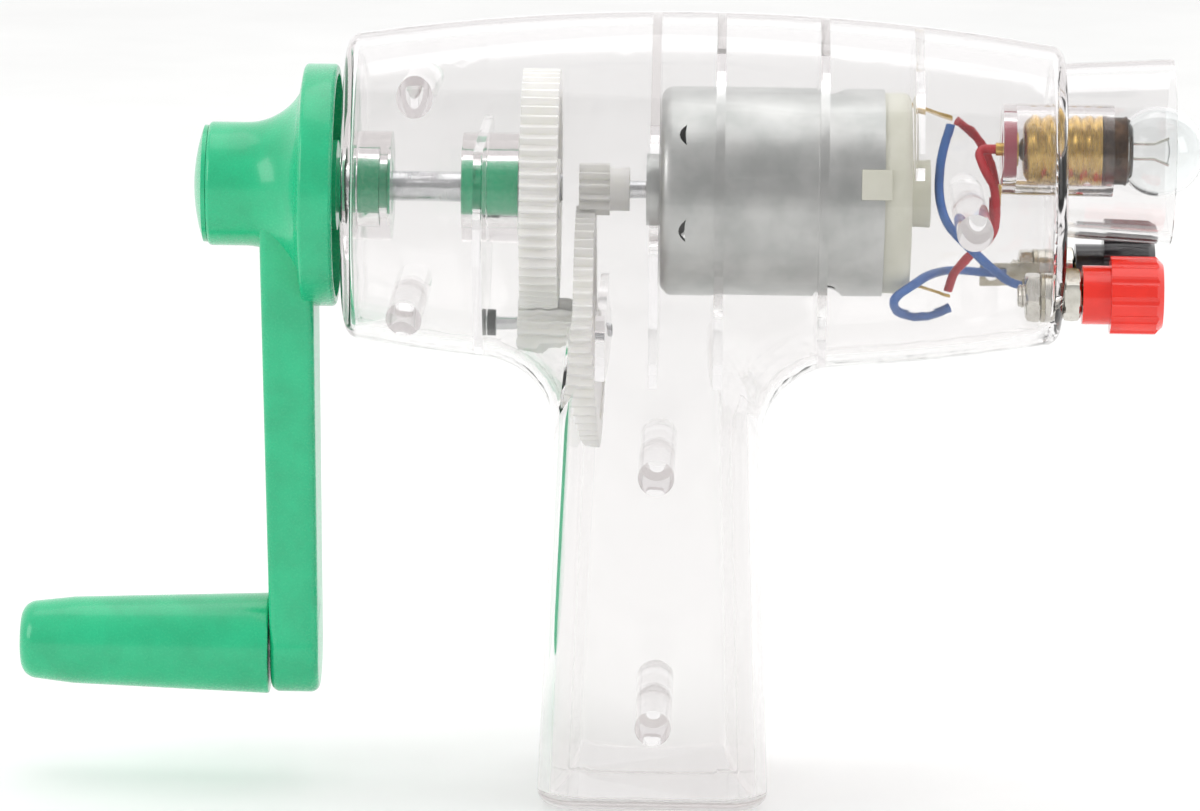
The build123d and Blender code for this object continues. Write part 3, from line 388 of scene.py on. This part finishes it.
def all_materials(colours):
    """Every finish of the generator, by the name the operators ask for it."""
    return {
        # Clear polystyrene: the walls vanish face on and show grey at their edges.
        "clear": clear_styrene_moulded(),
        # ABS moulded in green: bright, glossy, with a soft ripple in its highlights.
        "green": moulded_plastic(
            "abs_green_gloss_moulded", colours.green, colours.green_shade, 0.26, coat=0.3
        ),
        # Acetal: waxy white teeth with light under the skin.
        "acetal": moulded_plastic(
            "acetal_white_moulded", "#FBFBF8", "#F4F4F0", 0.36, subsurface=0.35
        ),
        # Natural nylon: a shade warmer and more waxy than the gears.
        "nylon": moulded_plastic(
            "nylon_natural_moulded", "#E9E8DE", "#DFDDD0", 0.42, subsurface=0.2
        ),
        # Glass filled nylon of the motor's end: cream, nearly matt.
        "cream": moulded_plastic(
            "glass_filled_nylon_cream", colours.cream, "#D3D4C4", 0.5, pore=0.2
        ),
        # Glass filled nylon in black for the collar and washer.
        "dark": moulded_plastic("nylon_black_moulded", "#1C1B1D", "#131214", 0.45),
        # Thermoset caps: deep colour under a hard gloss.
        "red": moulded_plastic(
            "urea_red_gloss_moulded", colours.red, "#E52616", 0.22, coat=0.4
        ),
        "black": moulded_plastic(
            "urea_black_gloss_moulded", colours.black, "#171417", 0.22, coat=0.4
        ),
        # Vulcanised fibre: dull red, with a papery grain.
        "fibre": moulded_plastic("vulcanised_fibre_punched", "#B0485A", "#9A3A4A", 0.7),
        # PVC: smooth, slightly soft sheen.
        "blue_wire": moulded_plastic(
            "pvc_blue_extruded", colours.blue_wire, "#2F5C9C", 0.38, subsurface=0.05
        ),
        "red_wire": moulded_plastic(
            "pvc_red_extruded", colours.red_wire, "#A81824", 0.38, subsurface=0.05
        ),
        # Zinc plate on drawn steel: a soft grey shine, draw lines along the can.
        "can": plated_metal(
            "zinc_plated_steel_drawn", "#C9CBC9", "#B5B8B6", 0.34, "X", 5.0
        ),
        # Ground steel shafts: bright, with fine lines round them.
        "ground": plated_metal("carbon_steel_ground", "#D6D7D8", "#C2C4C6", 0.2, "round", 3.0),
        # Nickel plate on turned or stamped brass: warm bright white.
        "nickel": plated_metal(
            "nickel_plated_brass_turned", "#D9D6CE", "#C4C1B8", 0.2, "round", 2.0
        ),
        # Rolled brass of the lamp's cap: yellow, a little tarnished in the hollows.
        "rolled_brass": plated_metal(
            "brass_rolled_thin", "#DDBB6A", "#B08E45", 0.26, "round", 1.5
        ),
        # Spring brass strip: yellow with long rolling lines.
        "strip": plated_metal("brass_strip_rolled", "#D9B868", "#C29F50", 0.28, "X", 2.0),
        # Tinned brass of the lugs: grey with a warm cast where the tin is thin.
        "tinned": plated_metal("brass_strip_tinned", "#C2BDAE", "#A79F8A", 0.3, "X", 1.5),
        # The lamp's crimped collar: brass, its dark brown colour a painted shade and painted dark
        # reflection.
        "collar": plated_metal("brass_spun_painted_dark_reflection", "#5A4636", "#37291F", 0.34, "round", 1.2),
        # Bare copper, bright but brown in patches.
        "copper": plated_metal("copper_drawn", "#D08A5E", "#B06A40", 0.28, "round", 0.8),
        # Soft solder: grey white, with a frosted skin.
        "solder": plated_metal(
            "tin_lead_solder_flowed", "#C4C5C6", "#A5A7A9", 0.36, "even", 0.7, 0.4, 0.02
        ),
        "tungsten": plated_metal("tungsten_drawn", "#77787A", "#5E5F62", 0.35, "even", 0.5),
        "windings": wound_copper(),
        "laminations": stacked_laminations(),
        # Ferrite: charcoal grey, fired and ground.
        "ferrite": sintered("ferrite_sintered", "#3B3C3F", "#2B2C2F", 0.0, 0.6, 0.25),
        # Oil-filled bronze: brown gold with open pores.
        "bronze": sintered("bronze_sintered_oiled", "#B08A50", "#8F6D3C", 1.0, 0.42, 0.15),
        "glass": blown_glass(),
        "floor": studio_floor(),
    }


materials = {}


# ---------------------------------------------------------------- shape helpers


def new_piece(name, mesh_maker, material, body, node=None):
    """Makes a mesh object, rides it on its body and lets it stand for its node."""
    mesh = bpy.data.meshes.new(name)
    bm = bmesh.new()
    mesh_maker(bm)
    bmesh.ops.recalc_face_normals(bm, faces=bm.faces)
    bm.to_mesh(mesh)
    bm.free()
    for face in mesh.polygons:
        face.use_smooth = True
    piece = bpy.data.objects.new(name, mesh)
    bpy.context.scene.collection.objects.link(piece)
    mesh.materials.append(materials[material])
    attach(piece, body)
    if node:
        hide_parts(node)
    return piece


def smooth_by_angle():
    """A node group that welds the frame's split corners and smooths all but sharp edges."""
    name = "smooth_by_angle"
    if name in bpy.data.node_groups:
        return bpy.data.node_groups[name]
    tree = bpy.data.node_groups.new(name, "GeometryNodeTree")
    tree.interface.new_socket("Geometry", in_out="INPUT", socket_type="NodeSocketGeometry")
    tree.interface.new_socket("Geometry", in_out="OUTPUT", socket_type="NodeSocketGeometry")
    start = put(tree, "NodeGroupInput")
    weld = put(
        tree, "GeometryNodeMergeByDistance", {"Geometry": start.outputs[0], "Distance": 2e-6}
    )
    faces = put(
        tree,
        "GeometryNodeSetShadeSmooth",
        {"Geometry": weld.outputs[0], "Shade Smooth": True},
        domain="FACE",
    )
    angle = put(tree, "GeometryNodeInputMeshEdgeAngle")
    sharp = put(
        tree,
        "FunctionNodeCompare",
        {"A": angle.outputs["Unsigned Angle"], "B": radians(26)},
        data_type="FLOAT",
        operation="GREATER_THAN",
    )
    edges = put(
        tree,
        "GeometryNodeSetShadeSmooth",
        {"Geometry": faces.outputs[0], "Selection": sharp.outputs[0], "Shade Smooth": False},
        domain="EDGE",
    )
    put(tree, "NodeGroupOutput", {0: edges.outputs[0]})
    return tree


def finish_node(name, material, edge=0.0):
    """Gives a carried-over piece its finish, smooth curves and, where asked, softened edges."""
    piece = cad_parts[name]
    for place in range(max(1, len(piece.material_slots))):
        if place < len(piece.material_slots):
            piece.material_slots[place].material = materials[material]
        else:
            piece.data.materials.append(materials[material])
    smooth = piece.modifiers.new("smooth", "NODES")
    smooth.node_group = smooth_by_angle()
    if edge:
        bevel = piece.modifiers.new("edge", "BEVEL")
        bevel.width = edge * MM
        bevel.segments = 2
        bevel.limit_method = "ANGLE"
        bevel.angle_limit = radians(35)
        bevel.harden_normals = True
    return piece


def rim_point(bm, x, y, z, r, angle):
    """A vertex on a circle round an axis along X, given in millimetres."""
    return bm.verts.new((x * MM, (y + r * cos(angle)) * MM, (z + r * sin(angle)) * MM))


def polar_grid(bm, stations, steps, y, z, radius_at, close_start=True, close_end=True):
    """Rings of points round an axis along X, skinned into one surface.

    radius_at(x, index, angle) gives each point's radius.
    """
    rings = []
    for index, x in enumerate(stations):
        ring = []
        for k in range(steps):
            angle = 2 * pi * k / steps
            ring.append(rim_point(bm, x, y, z, radius_at(x, index, angle), angle))
        rings.append(ring)
    for one, two in zip(rings, rings[1:]):
        for k in range(steps):
            bm.faces.new((one[k], one[(k + 1) % steps], two[(k + 1) % steps], two[k]))
    if close_start:
        bm.faces.new(rings[0])
    if close_end:
        bm.faces.new(list(reversed(rings[-1])))
    return rings


def lathe(bm, profile, steps, y, z, closed=False):
    """Turns (x, radius) points round an axis along X. A radius of zero closes to a point."""
    rings = []
    for x, r in profile:
        if r <= 1e-6:
            rings.append([bm.verts.new((x * MM, y * MM, z * MM))])
            continue
        rings.append([rim_point(bm, x, y, z, r, 2 * pi * k / steps) for k in range(steps)])
    pairs = list(zip(rings, rings[1:]))
    if closed:
        pairs.append((rings[-1], rings[0]))
    for one, two in pairs:
        for k in range(steps):
            n = (k + 1) % steps
            if len(one) == 1 and len(two) == 1:
                continue
            if len(one) == 1:
                bm.faces.new((one[0], two[n], two[k]))
            elif len(two) == 1:
                bm.faces.new((one[k], one[n], two[0]))
            else:
                bm.faces.new((one[k], one[n], two[n], two[k]))


def centre_of(node):
    """The middle of a node's box, in millimetres."""
    low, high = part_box(node)
    return [(a + b) / 2 / MM for a, b in zip(low, high)]


def reach_of(node):
    """The lowest and highest X of a node, in millimetres."""
    low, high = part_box(node)
    return low[0] / MM, high[0] / MM


def radius_of(node):
    """Half the height of a node's box, in millimetres."""
    low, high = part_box(node)
    return (high[2] - low[2]) / 2 / MM


# ---------------------------------------------------------------- what a user would change


class GeneratorColours(bpy.types.PropertyGroup):
    green: bpy.props.StringProperty(
        name="Crank green", description="Colour of the crank and knob", default="#1FBF86"
    )
    green_shade: bpy.props.StringProperty(
        name="Crank green shade", description="Darker tone of the crank", default="#1FB27C"
    )
    red: bpy.props.StringProperty(
        name="Red cap", description="Colour of the positive post's cap", default="#F52D1C"
    )
    black: bpy.props.StringProperty(
        name="Black cap", description="Colour of the negative post's cap", default="#211D22"
    )
    cream: bpy.props.StringProperty(
        name="Motor end", description="Colour of the motor's end bell", default="#DFE0D2"
    )
    blue_wire: bpy.props.StringProperty(
        name="Blue wire", description="Insulation of the wires to the posts", default="#3F74C0"
    )
    red_wire: bpy.props.StringProperty(
        name="Red wire", description="Insulation of the wires to the lamp", default="#CC2030"
    )


class GeneratorSizes(bpy.types.PropertyGroup):
    lamp_pitch: bpy.props.FloatProperty(
        name="Lamp thread pitch",
        description="Pitch of the rolled thread on the lamp's cap, in millimetres",
        default=1.81,
    )
    lamp_thread_depth: bpy.props.FloatProperty(
        name="Lamp thread depth",
        description="Depth of the rolled thread, in millimetres",
        default=0.45,
    )
    lamp_collar: bpy.props.FloatProperty(
        name="Lamp collar",
        description="Length of the collar that grips the lamp's glass, in millimetres",
        default=3.45,
    )
    stud_pitch: bpy.props.FloatProperty(
        name="Stud thread pitch",
        description="Pitch of the post studs' thread, in millimetres",
        default=0.5,
    )
    vent_height: bpy.props.FloatProperty(
        name="Vent height",
        description="Length of the motor's crescent vents, in millimetres",
        default=3.1,
    )
    vent_place: bpy.props.FloatProperty(
        name="Vent place",
        description="Distance of the vents behind the can's front, in millimetres",
        default=3.4,
    )


class GeneratorStage(bpy.types.PropertyGroup):
    azimuth: bpy.props.FloatProperty(
        name="Azimuth",
        description="Camera's turn round the object from straight in front",
        default=radians(1.0),
        subtype="ANGLE",
    )
    elevation: bpy.props.FloatProperty(
        name="Elevation",
        description="Camera's angle above the horizon",
        default=radians(10.0),
        subtype="ANGLE",
    )
    roll: bpy.props.FloatProperty(
        name="Roll",
        description="Camera's turn about its own line of sight",
        default=radians(0.7),
        subtype="ANGLE",
    )
    distance: bpy.props.FloatProperty(
        name="Distance",
        description="Camera's distance from the object",
        default=0.9,
        subtype="DISTANCE",
        unit="LENGTH",
    )
    aim: bpy.props.FloatVectorProperty(
        name="Aim",
        description="The point at the middle of the picture",
        default=(-0.0078, 0.0, 0.0515),
        subtype="TRANSLATION",
        unit="LENGTH",
        precision=5,
    )
    lens: bpy.props.FloatProperty(
        name="Lens",
        description="Focal length for a 36 mm wide sensor, in millimetres",
        default=201.5,
    )


# ---------------------------------------------------------------- the pieces


class GENERATOR_OT_stage(bpy.types.Operator):
    """Sets up the pale floor, the soft lights and the camera"""

    bl_idname = "generator.stage"
    bl_label = "Stage"

    def execute(self, context):
        settings = context.scene.generator_stage
        mesh = bpy.data.meshes.new("floor")
        bm = bmesh.new()
        bmesh.ops.create_grid(bm, x_segments=4, y_segments=4, size=FLOOR_HALF)
        bm.to_mesh(mesh)
        bm.free()
        floor_piece = bpy.data.objects.new("floor", mesh)
        mesh.materials.append(materials["floor"])
        context.scene.collection.objects.link(floor_piece)

        def soft_box(name, place, aim, width, height, power):
            light = bpy.data.lights.new(name, "AREA")
            light.shape = "RECTANGLE"
            light.size = width
            light.size_y = height
            light.energy = power
            box = bpy.data.objects.new(name, light)
            box.location = place
            box.rotation_euler = (Vector(aim) - Vector(place)).to_track_quat("-Z", "Y").to_euler()
            context.scene.collection.objects.link(box)

        middle = (0.0, 0.0, 0.06)
        soft_box("top_light", (0.05, 0.05, 0.95), middle, 0.9, 0.7, 2.2)
        soft_box("left_light", (-0.8, -0.55, 0.5), middle, 0.5, 0.6, 2.6)
        soft_box("right_light", (0.85, -0.4, 0.4), middle, 0.4, 0.6, 1.4)

        # White behind and above the object, greyer behind the camera, so that the clear
        # walls show their edges as they do in a light tent.
        world = bpy.data.worlds.new("light_tent")
        context.scene.world = world
        world.use_nodes = True
        tree = world.node_tree
        tree.nodes.clear()
        out = put(tree, "ShaderNodeOutputWorld")
        ray = put(tree, "ShaderNodeTexCoord").outputs["Generated"]
        parts = put(tree, "ShaderNodeSeparateXYZ", {"Vector": ray})
        ramp = put(
            tree,
            "ShaderNodeMapRange",
            {
                "Value": parts.outputs["Y"],
                "From Min": -0.8,
                "From Max": 0.4,
                "To Min": 0.55,
                "To Max": 1.16,
            },
        )
        tent = put(
            tree,
            "ShaderNodeBackground",
            {"Color": linear("#FFFFFF"), "Strength": ramp.outputs["Result"]},
        )
        tree.links.new(tent.outputs[0], out.inputs["Surface"])

        # White is white here, with the bright, slightly clipped look of a cut-out picture.
        context.scene.view_settings.view_transform = "Standard"
        context.scene.cycles.transparent_max_bounces = 32

        camera = bpy.data.objects.new("camera", bpy.data.cameras.new("camera"))
        context.scene.collection.objects.link(camera)
        camera.data.lens = settings.lens
        camera.data.sensor_width = 36.0
        camera.data.clip_start = 0.05
        camera.data.clip_end = 20.0
        a, e = settings.azimuth, settings.elevation
        back = Vector((sin(a) * cos(e), -cos(a) * cos(e), sin(e)))
        camera.rotation_mode = "QUATERNION"
        aimed = (-back).to_track_quat("-Z", "Y")
        camera.rotation_quaternion = aimed @ Matrix.Rotation(settings.roll, 3, "Z").to_quaternion()
        camera.location = Vector(settings.aim) + back * settings.distance
        context.scene.camera = camera
        return {"FINISHED"}


class GENERATOR_OT_housing(bpy.types.Operator):
    """Finishes the two clear halves of the housing"""

    bl_idname = "generator.housing"
    bl_label = "Housing"

    def execute(self, context):
        for name in ("front_shell", "rear_shell"):
            finish_node(name, "clear")
        return {"FINISHED"}


class GENERATOR_OT_crank(bpy.types.Operator):
    """Finishes the crank, its cap, pin and knob"""

    bl_idname = "generator.crank"
    bl_label = "Crank and knob"

    def execute(self, context):
        for name in ("crank_arm", "crank_cap", "crank_knob"):
            finish_node(name, "green", 0.25)
        finish_node("crank_screw", "nickel", 0.1)
        finish_node("knob_pin", "ground", 0.1)
        finish_node("crank_shaft", "ground")
        return {"FINISHED"}


class GENERATOR_OT_gear_train(bpy.types.Operator):
    """Finishes the gears, the layshaft and the crank shaft's bushes"""

    bl_idname = "generator.gear_train"
    bl_label = "Gear train"

    def execute(self, context):
        for name in ("drive_gear", "reduction_gear", "motor_pinion"):
            finish_node(name, "acetal", 0.06)
        for name in ("outer_shaft_bush", "inner_shaft_bush"):
            finish_node(name, "green", 0.1)
        finish_node("layshaft", "ground", 0.1)
        for name in ("layshaft_collar", "layshaft_washer"):
            finish_node(name, "dark", 0.05)
        return {"FINISHED"}


def vent_cutter(context):
    """Solid crescents that stand through the can's wall, as one object."""
    sizes = context.scene.generator_sizes
    middle = centre_of("motor_shaft")
    outer = radius_of("motor_can")
    half = sizes.vent_height / 2
    start = Vector((sizes.vent_place, middle[1], middle[2]))
    curves = (
        (VENT_OUTER_BULGE, range(-VENT_STEPS, VENT_STEPS + 1)),
        (VENT_INNER_BULGE, range(VENT_STEPS - 1, -VENT_STEPS, -1)),
    )
    crescents = bmesh.new()
    for degrees in VENT_ANGLES:
        a = radians(degrees)
        outward = Vector((0.0, -cos(a), sin(a)))
        across = Vector((0.0, sin(a), cos(a)))
        edge = []
        for bulge, order in curves:
            for k in order:
                t = k / VENT_STEPS
                edge.append(start + Vector((-bulge * (1 - t * t), 0, 0)) + across * half * t)
        rings = []
        for reach in (outer - VENT_DEPTH, outer + VENT_PROUD):
            rings.append([crescents.verts.new((p + outward * reach) * MM) for p in edge])
        inner, far = rings
        for k in range(len(edge)):
            n = (k + 1) % len(edge)
            crescents.faces.new((inner[k], inner[n], far[n], far[k]))
        crescents.faces.new(inner)
        crescents.faces.new(list(reversed(far)))
    bmesh.ops.recalc_face_normals(crescents, faces=crescents.faces)
    mesh = bpy.data.meshes.new("vent_cutter")
    crescents.to_mesh(mesh)
    crescents.free()
    cutter = bpy.data.objects.new("vent_cutter", mesh)
    context.scene.collection.objects.link(cutter)
    return cutter


def cut_vents(context):
    """Makes a copy of the can with crescent vents near its front, which the solid lacks."""
    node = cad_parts["motor_can"]
    cutter = vent_cutter(context)
    vented = bpy.data.objects.new("motor_can_vented", node.data.copy())
    vented.matrix_world = node.matrix_world.copy()
    context.scene.collection.objects.link(vented)
    weld = vented.modifiers.new("weld", "WELD")
    weld.merge_threshold = WELD_DISTANCE * MM
    cut = vented.modifiers.new("cut", "BOOLEAN")
    cut.operation = "DIFFERENCE"
    cut.solver = "EXACT"
    cut.object = cutter
    context.view_layer.update()
    evaluated = vented.evaluated_get(context.evaluated_depsgraph_get())
    shaped = bpy.data.meshes.new_from_object(evaluated)
    vented.modifiers.clear()
    vented.data = shaped
    bpy.data.objects.remove(cutter)
    for place in range(len(shaped.materials)):
        shaped.materials[place] = materials["can"]
    smooth = vented.modifiers.new("smooth", "NODES")
    smooth.node_group = smooth_by_angle()
    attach(vented, "housing")
    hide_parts("motor_can")


class GENERATOR_OT_motor(bpy.types.Operator):
    """Finishes the motor's can, end, magnets, armature and brushes"""

    bl_idname = "generator.motor"
    bl_label = "Motor"

    def execute(self, context):
        finishes = {
            "motor_can": ("can", 0.1),
            "motor_end_bell": ("cream", 0.15),
            "motor_magnets": ("ferrite", 0.1),
            "motor_terminals": ("strip", 0.05),
            "motor_brushes": ("copper", 0.05),
            "front_motor_bush": ("bronze", 0.1),
            "rear_motor_bush": ("bronze", 0.1),
            "motor_shaft": ("ground", 0.0),
            "armature_core": ("laminations", 0.0),
            "armature_windings": ("windings", 0.3),
            "commutator": ("copper", 0.05),
        }
        for name, (material, edge) in finishes.items():
            finish_node(name, material, edge)
        cut_vents(context)
        return {"FINISHED"}


class GENERATOR_OT_lamp(bpy.types.Operator):
    """Makes the screw lamp with its rolled cap, globe and coiled filament"""

    bl_idname = "generator.lamp"
    bl_label = "Lamp"

    def execute(self, context):
        sizes = context.scene.generator_sizes
        finish_node("lamp_insulator", "fibre", 0.05)
        finish_node("lamp_centre_contact", "strip", 0.1)
        finish_node("lamp_side_contact", "strip", 0.05)
        middle = centre_of("bulb_base")
        y, z = middle[1], middle[2]
        left, right = reach_of("bulb_base")
        outer = radius_of("bulb_base")
        pitch, depth = sizes.lamp_pitch, sizes.lamp_thread_depth

        collar_left = right - sizes.lamp_collar
        neck = outer - 0.52

        def cap(bm):
            """The rolled brass cap: a narrowed end and a round thread."""
            count = int((collar_left - left) / (pitch / 14))
            stations = [left + (collar_left - left) * i / count for i in range(count + 1)]

            def radius(x, index, angle):
                along = x - left
                thread = 0.5 - 0.5 * cos(2 * pi * (along / pitch - angle / (2 * pi)))
                start = min(1.0, along / 1.6)
                taper = min(1.0, max(0.0, (collar_left - 0.2 - x) / 0.9))
                mean = outer - depth * (1 - thread) * start * taper
                nose = 1.3 * max(0.0, 1 - along / 1.4) ** 2
                return mean - nose

            polar_grid(bm, stations, 64, y, z, radius, close_start=True, close_end=False)
            lathe(bm, [(collar_left, outer - 0.02), (collar_left, outer - 0.6)], 64, y, z)

        def collar(bm):
            """The crimped collar that grips the glass: a rolled bead, a band and a lip."""
            band = outer - 0.12
            profile = [
                (collar_left, neck),
                (collar_left, band - 0.1),
                (collar_left + 0.25, band + 0.08),
                (collar_left + 0.6, band + 0.08),
                (collar_left + 0.85, band - 0.1),
                (right - 0.5, band - 0.1),
                (right - 0.2, band + 0.05),
                (right, band - 0.12),
                (right, neck),
            ]
            lathe(bm, profile, 72, y, z, closed=True)

        new_piece("bulb_cap", cap, "rolled_brass", "lamp_turner", "bulb_base")
        # The collar's dark brown finish is painted shade and a painted dark reflection.
        new_piece("bulb_collar", collar, "collar", "lamp_turner", None)

        tip_left, tip_right = reach_of("bulb_tip")

        def tip(bm):
            """A low dome of solder on the cap's end."""
            profile = [(tip_left, 0.0)]
            for i in range(1, 9):
                a = i / 8 * pi / 2
                profile.append((tip_right - (tip_right - tip_left) * cos(a), 1.58 * sin(a)))
            profile.append((tip_right, 0.0))
            lathe(bm, profile, 48, y, z)

        new_piece("bulb_solder_tip", tip, "solder", "lamp_slider", "bulb_tip")

        glass_left, glass_right = reach_of("bulb_glass")
        globe = radius_of("bulb_glass")
        globe_x = glass_right - globe

        def outline(inset):
            """The globe's outline from its mouth in the collar to its rounded tip."""
            r = globe - inset
            throat = neck - inset - 0.02
            waist = throat - 0.3
            join = globe_x - sqrt(r * r - waist * waist)
            points = [(glass_left, throat), (join - 1.2, throat)]
            for i in range(1, 5):
                t = i / 5
                ease = 3 * t * t - 2 * t * t * t
                points.append((join - 1.2 + 1.2 * t, throat - 0.3 * ease))
            start = pi - asin(waist / r)
            for i in range(25):
                a = start * (1 - i / 24)
                points.append((globe_x + r * cos(a), r * sin(a) if i < 24 else 0.0))
            return points

        def glass(bm):
            """Outside and inside walls of the blown globe, joined round the mouth."""
            out = outline(0.0)
            inside = outline(0.4)
            lathe(bm, list(reversed(inside)) + out, 96, y, z)

        new_piece("bulb_globe", glass, "glass", "lamp_turner", "bulb_glass")

        finish_node("bulb_bead", "glass")
        finish_node("bulb_leads", "nickel")

        low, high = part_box("bulb_filament")
        fx = (low[0] + high[0]) / 2 / MM
        fy = (low[1] + high[1]) / 2 / MM
        fz = (low[2] + high[2]) / 2 / MM
        span = max(high[1] - low[1], high[2] - low[2]) / MM
        upright = (high[2] - low[2]) > (high[1] - low[1])
        coil = bpy.data.curves.new("bulb_filament_coil", "CURVE")
        coil.dimensions = "3D"
        coil.bevel_depth = 0.035 * MM
        coil.bevel_resolution = 2
        turns = 14
        count = turns * 10
        line = coil.splines.new("POLY")
        line.points.add(count)
        for i in range(count + 1):
            t = i / count
            a = 2 * pi * turns * t
            along = (t - 0.5) * span * 0.98
            wave = 0.085
            x = fx + wave * cos(a) + 0.25 * sin(pi * t)
            side = wave * sin(a)
            place = (x, fy + side, fz + along) if upright else (x, fy + along, fz + side)
            line.points[i].co = (place[0] * MM, place[1] * MM, place[2] * MM, 1.0)
        coil.materials.append(materials["tungsten"])
        piece = bpy.data.objects.new("bulb_filament_coil", coil)
        context.scene.collection.objects.link(piece)
        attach(piece, "lamp_turner")
        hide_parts("bulb_filament")
        return {"FINISHED"}


def hex_nuts(node, piece_name, across, bore, turn):
    """Hexagon nuts with a chamfer on both faces, one on each stud, as one piece."""
    left, right = reach_of(node)
    corner = across / 2 / cos(pi / 6)
    face = across / 2 * NUT_FACE
    steps = 72
    # each level's x, and its radius where it is round
    levels = [
        (left, bore),
        (left, face),
        (left + NUT_CHAMFER / 2, None),
        (left + NUT_CHAMFER, None),
        ((left + right) / 2, None),
        (right - NUT_CHAMFER, None),
        (right - NUT_CHAMFER / 2, None),
        (right, face),
        (right, bore),
    ]

    def hexagon(x, angle):
        """The radius of the hexagon, cut back by the chamfer near its faces."""
        sector = (angle - turn) % (pi / 3) - pi / 6
        end = min(x - left, right - x)
        limit = face + end * (corner - across / 2) / NUT_CHAMFER
        return min(across / 2 / cos(sector), limit)

    def make(bm):
        for name in ("red", "black"):
            middle = centre_of(f"{name}_post_stud")
            y, z = middle[1], middle[2]
            rings = []
            for x, fixed in levels:
                ring = []
                for k in range(steps):
                    a = 2 * pi * k / steps
                    r = hexagon(x, a) if fixed is None else fixed
                    ring.append(rim_point(bm, x, y, z, r, a))
                rings.append(ring)
            rings.append(rings[0])
            for one, two in zip(rings, rings[1:]):
                for k in range(steps):
                    n = (k + 1) % steps
                    bm.faces.new((one[k], one[n], two[n], two[k]))

    piece = new_piece(piece_name, make, "nickel", "housing", node)
    smooth = piece.modifiers.new("smooth", "NODES")
    smooth.node_group = smooth_by_angle()


class GENERATOR_OT_posts(bpy.types.Operator):
    """Makes the threaded studs, chamfered nuts and fluted caps of the binding posts"""

    bl_idname = "generator.posts"
    bl_label = "Binding posts"

    def execute(self, context):
        sizes = context.scene.generator_sizes
        pitch = sizes.stud_pitch
        for name in ("red", "black"):
            stud = f"{name}_post_stud"
            middle = centre_of(stud)
            y, z = middle[1], middle[2]
            left, right = reach_of(stud)
            outer = radius_of(stud)

            def threaded(bm):
                """A rolled thread with a chamfer at each end."""
                count = int((right - left) / (pitch / 6))
                stations = [left + (right - left) * i / count for i in range(count + 1)]

                def radius(x, index, angle):
                    phase = (x - left) / pitch - angle / (2 * pi)
                    tooth = abs(2 * (phase - floor(phase)) - 1)
                    end = min(x - left, right - x)
                    return min(outer - 0.3 * pitch * 2 * tooth * 0.6, outer - 0.35 + end)

                polar_grid(bm, stations, 28, y, z, radius)

            new_piece(f"{name}_stud", threaded, "nickel", "housing", stud)
            finish_node(f"{name}_cap_insert", "strip", 0.05)
            finish_node(f"{name}_cap", name, 0.2)

        hex_nuts("outer_nuts", "outer_hex_nuts", 6.2, 1.52, pi / 6)
        hex_nuts("inner_nuts", "inner_hex_nuts", 5.5, 1.52, 0.0)
        finish_node("post_washers", "nickel", 0.08)
        finish_node("solder_lugs", "tinned", 0.05)
        return {"FINISHED"}


class GENERATOR_OT_wires(bpy.types.Operator):
    """Finishes the four insulated wires"""

    bl_idname = "generator.wires"
    bl_label = "Wires"

    def execute(self, context):
        for name in ("blue_wire_to_red_post", "blue_wire_to_black_post"):
            finish_node(name, "blue_wire")
        for name in ("red_wire_to_side_contact", "red_wire_to_centre_contact"):
            finish_node(name, "red_wire")
        return {"FINISHED"}


class GENERATOR_PT_panel(bpy.types.Panel):
    """Lists the generator's pieces, colours and sizes in the sidebar"""

    bl_idname = "GENERATOR_PT_panel"
    bl_label = "Hand crank generator"
    bl_space_type = "VIEW_3D"
    bl_region_type = "UI"
    bl_category = "Generator"

    def draw(self, context):
        layout = self.layout
        for operator in OPERATORS:
            layout.operator(operator.bl_idname)
        for settings in (
            context.scene.generator_colours,
            context.scene.generator_sizes,
            context.scene.generator_stage,
        ):
            column = layout.column()
            for name in settings.__annotations__:
                column.prop(settings, name)


OPERATORS = (
    GENERATOR_OT_stage,
    GENERATOR_OT_housing,
    GENERATOR_OT_crank,
    GENERATOR_OT_gear_train,
    GENERATOR_OT_motor,
    GENERATOR_OT_lamp,
    GENERATOR_OT_posts,
    GENERATOR_OT_wires,
)
GROUPS = (GeneratorColours, GeneratorSizes, GeneratorStage)


def register():
    for one in (*GROUPS, *OPERATORS, GENERATOR_PT_panel):
        bpy.utils.register_class(one)
    bpy.types.Scene.generator_colours = bpy.props.PointerProperty(type=GeneratorColours)
    bpy.types.Scene.generator_sizes = bpy.props.PointerProperty(type=GeneratorSizes)
    bpy.types.Scene.generator_stage = bpy.props.PointerProperty(type=GeneratorStage)


def unregister():
    del bpy.types.Scene.generator_stage
    del bpy.types.Scene.generator_sizes
    del bpy.types.Scene.generator_colours
    for one in reversed((*GROUPS, *OPERATORS, GENERATOR_PT_panel)):
        bpy.utils.unregister_class(one)


def main():
    register()
    materials.update(all_materials(bpy.context.scene.generator_colours))
    bpy.ops.generator.stage()
    bpy.ops.generator.housing()
    bpy.ops.generator.crank()
    bpy.ops.generator.gear_train()
    bpy.ops.generator.motor()
    bpy.ops.generator.lamp()
    bpy.ops.generator.posts()
    bpy.ops.generator.wires()


if __name__ == "__main__":
    main()
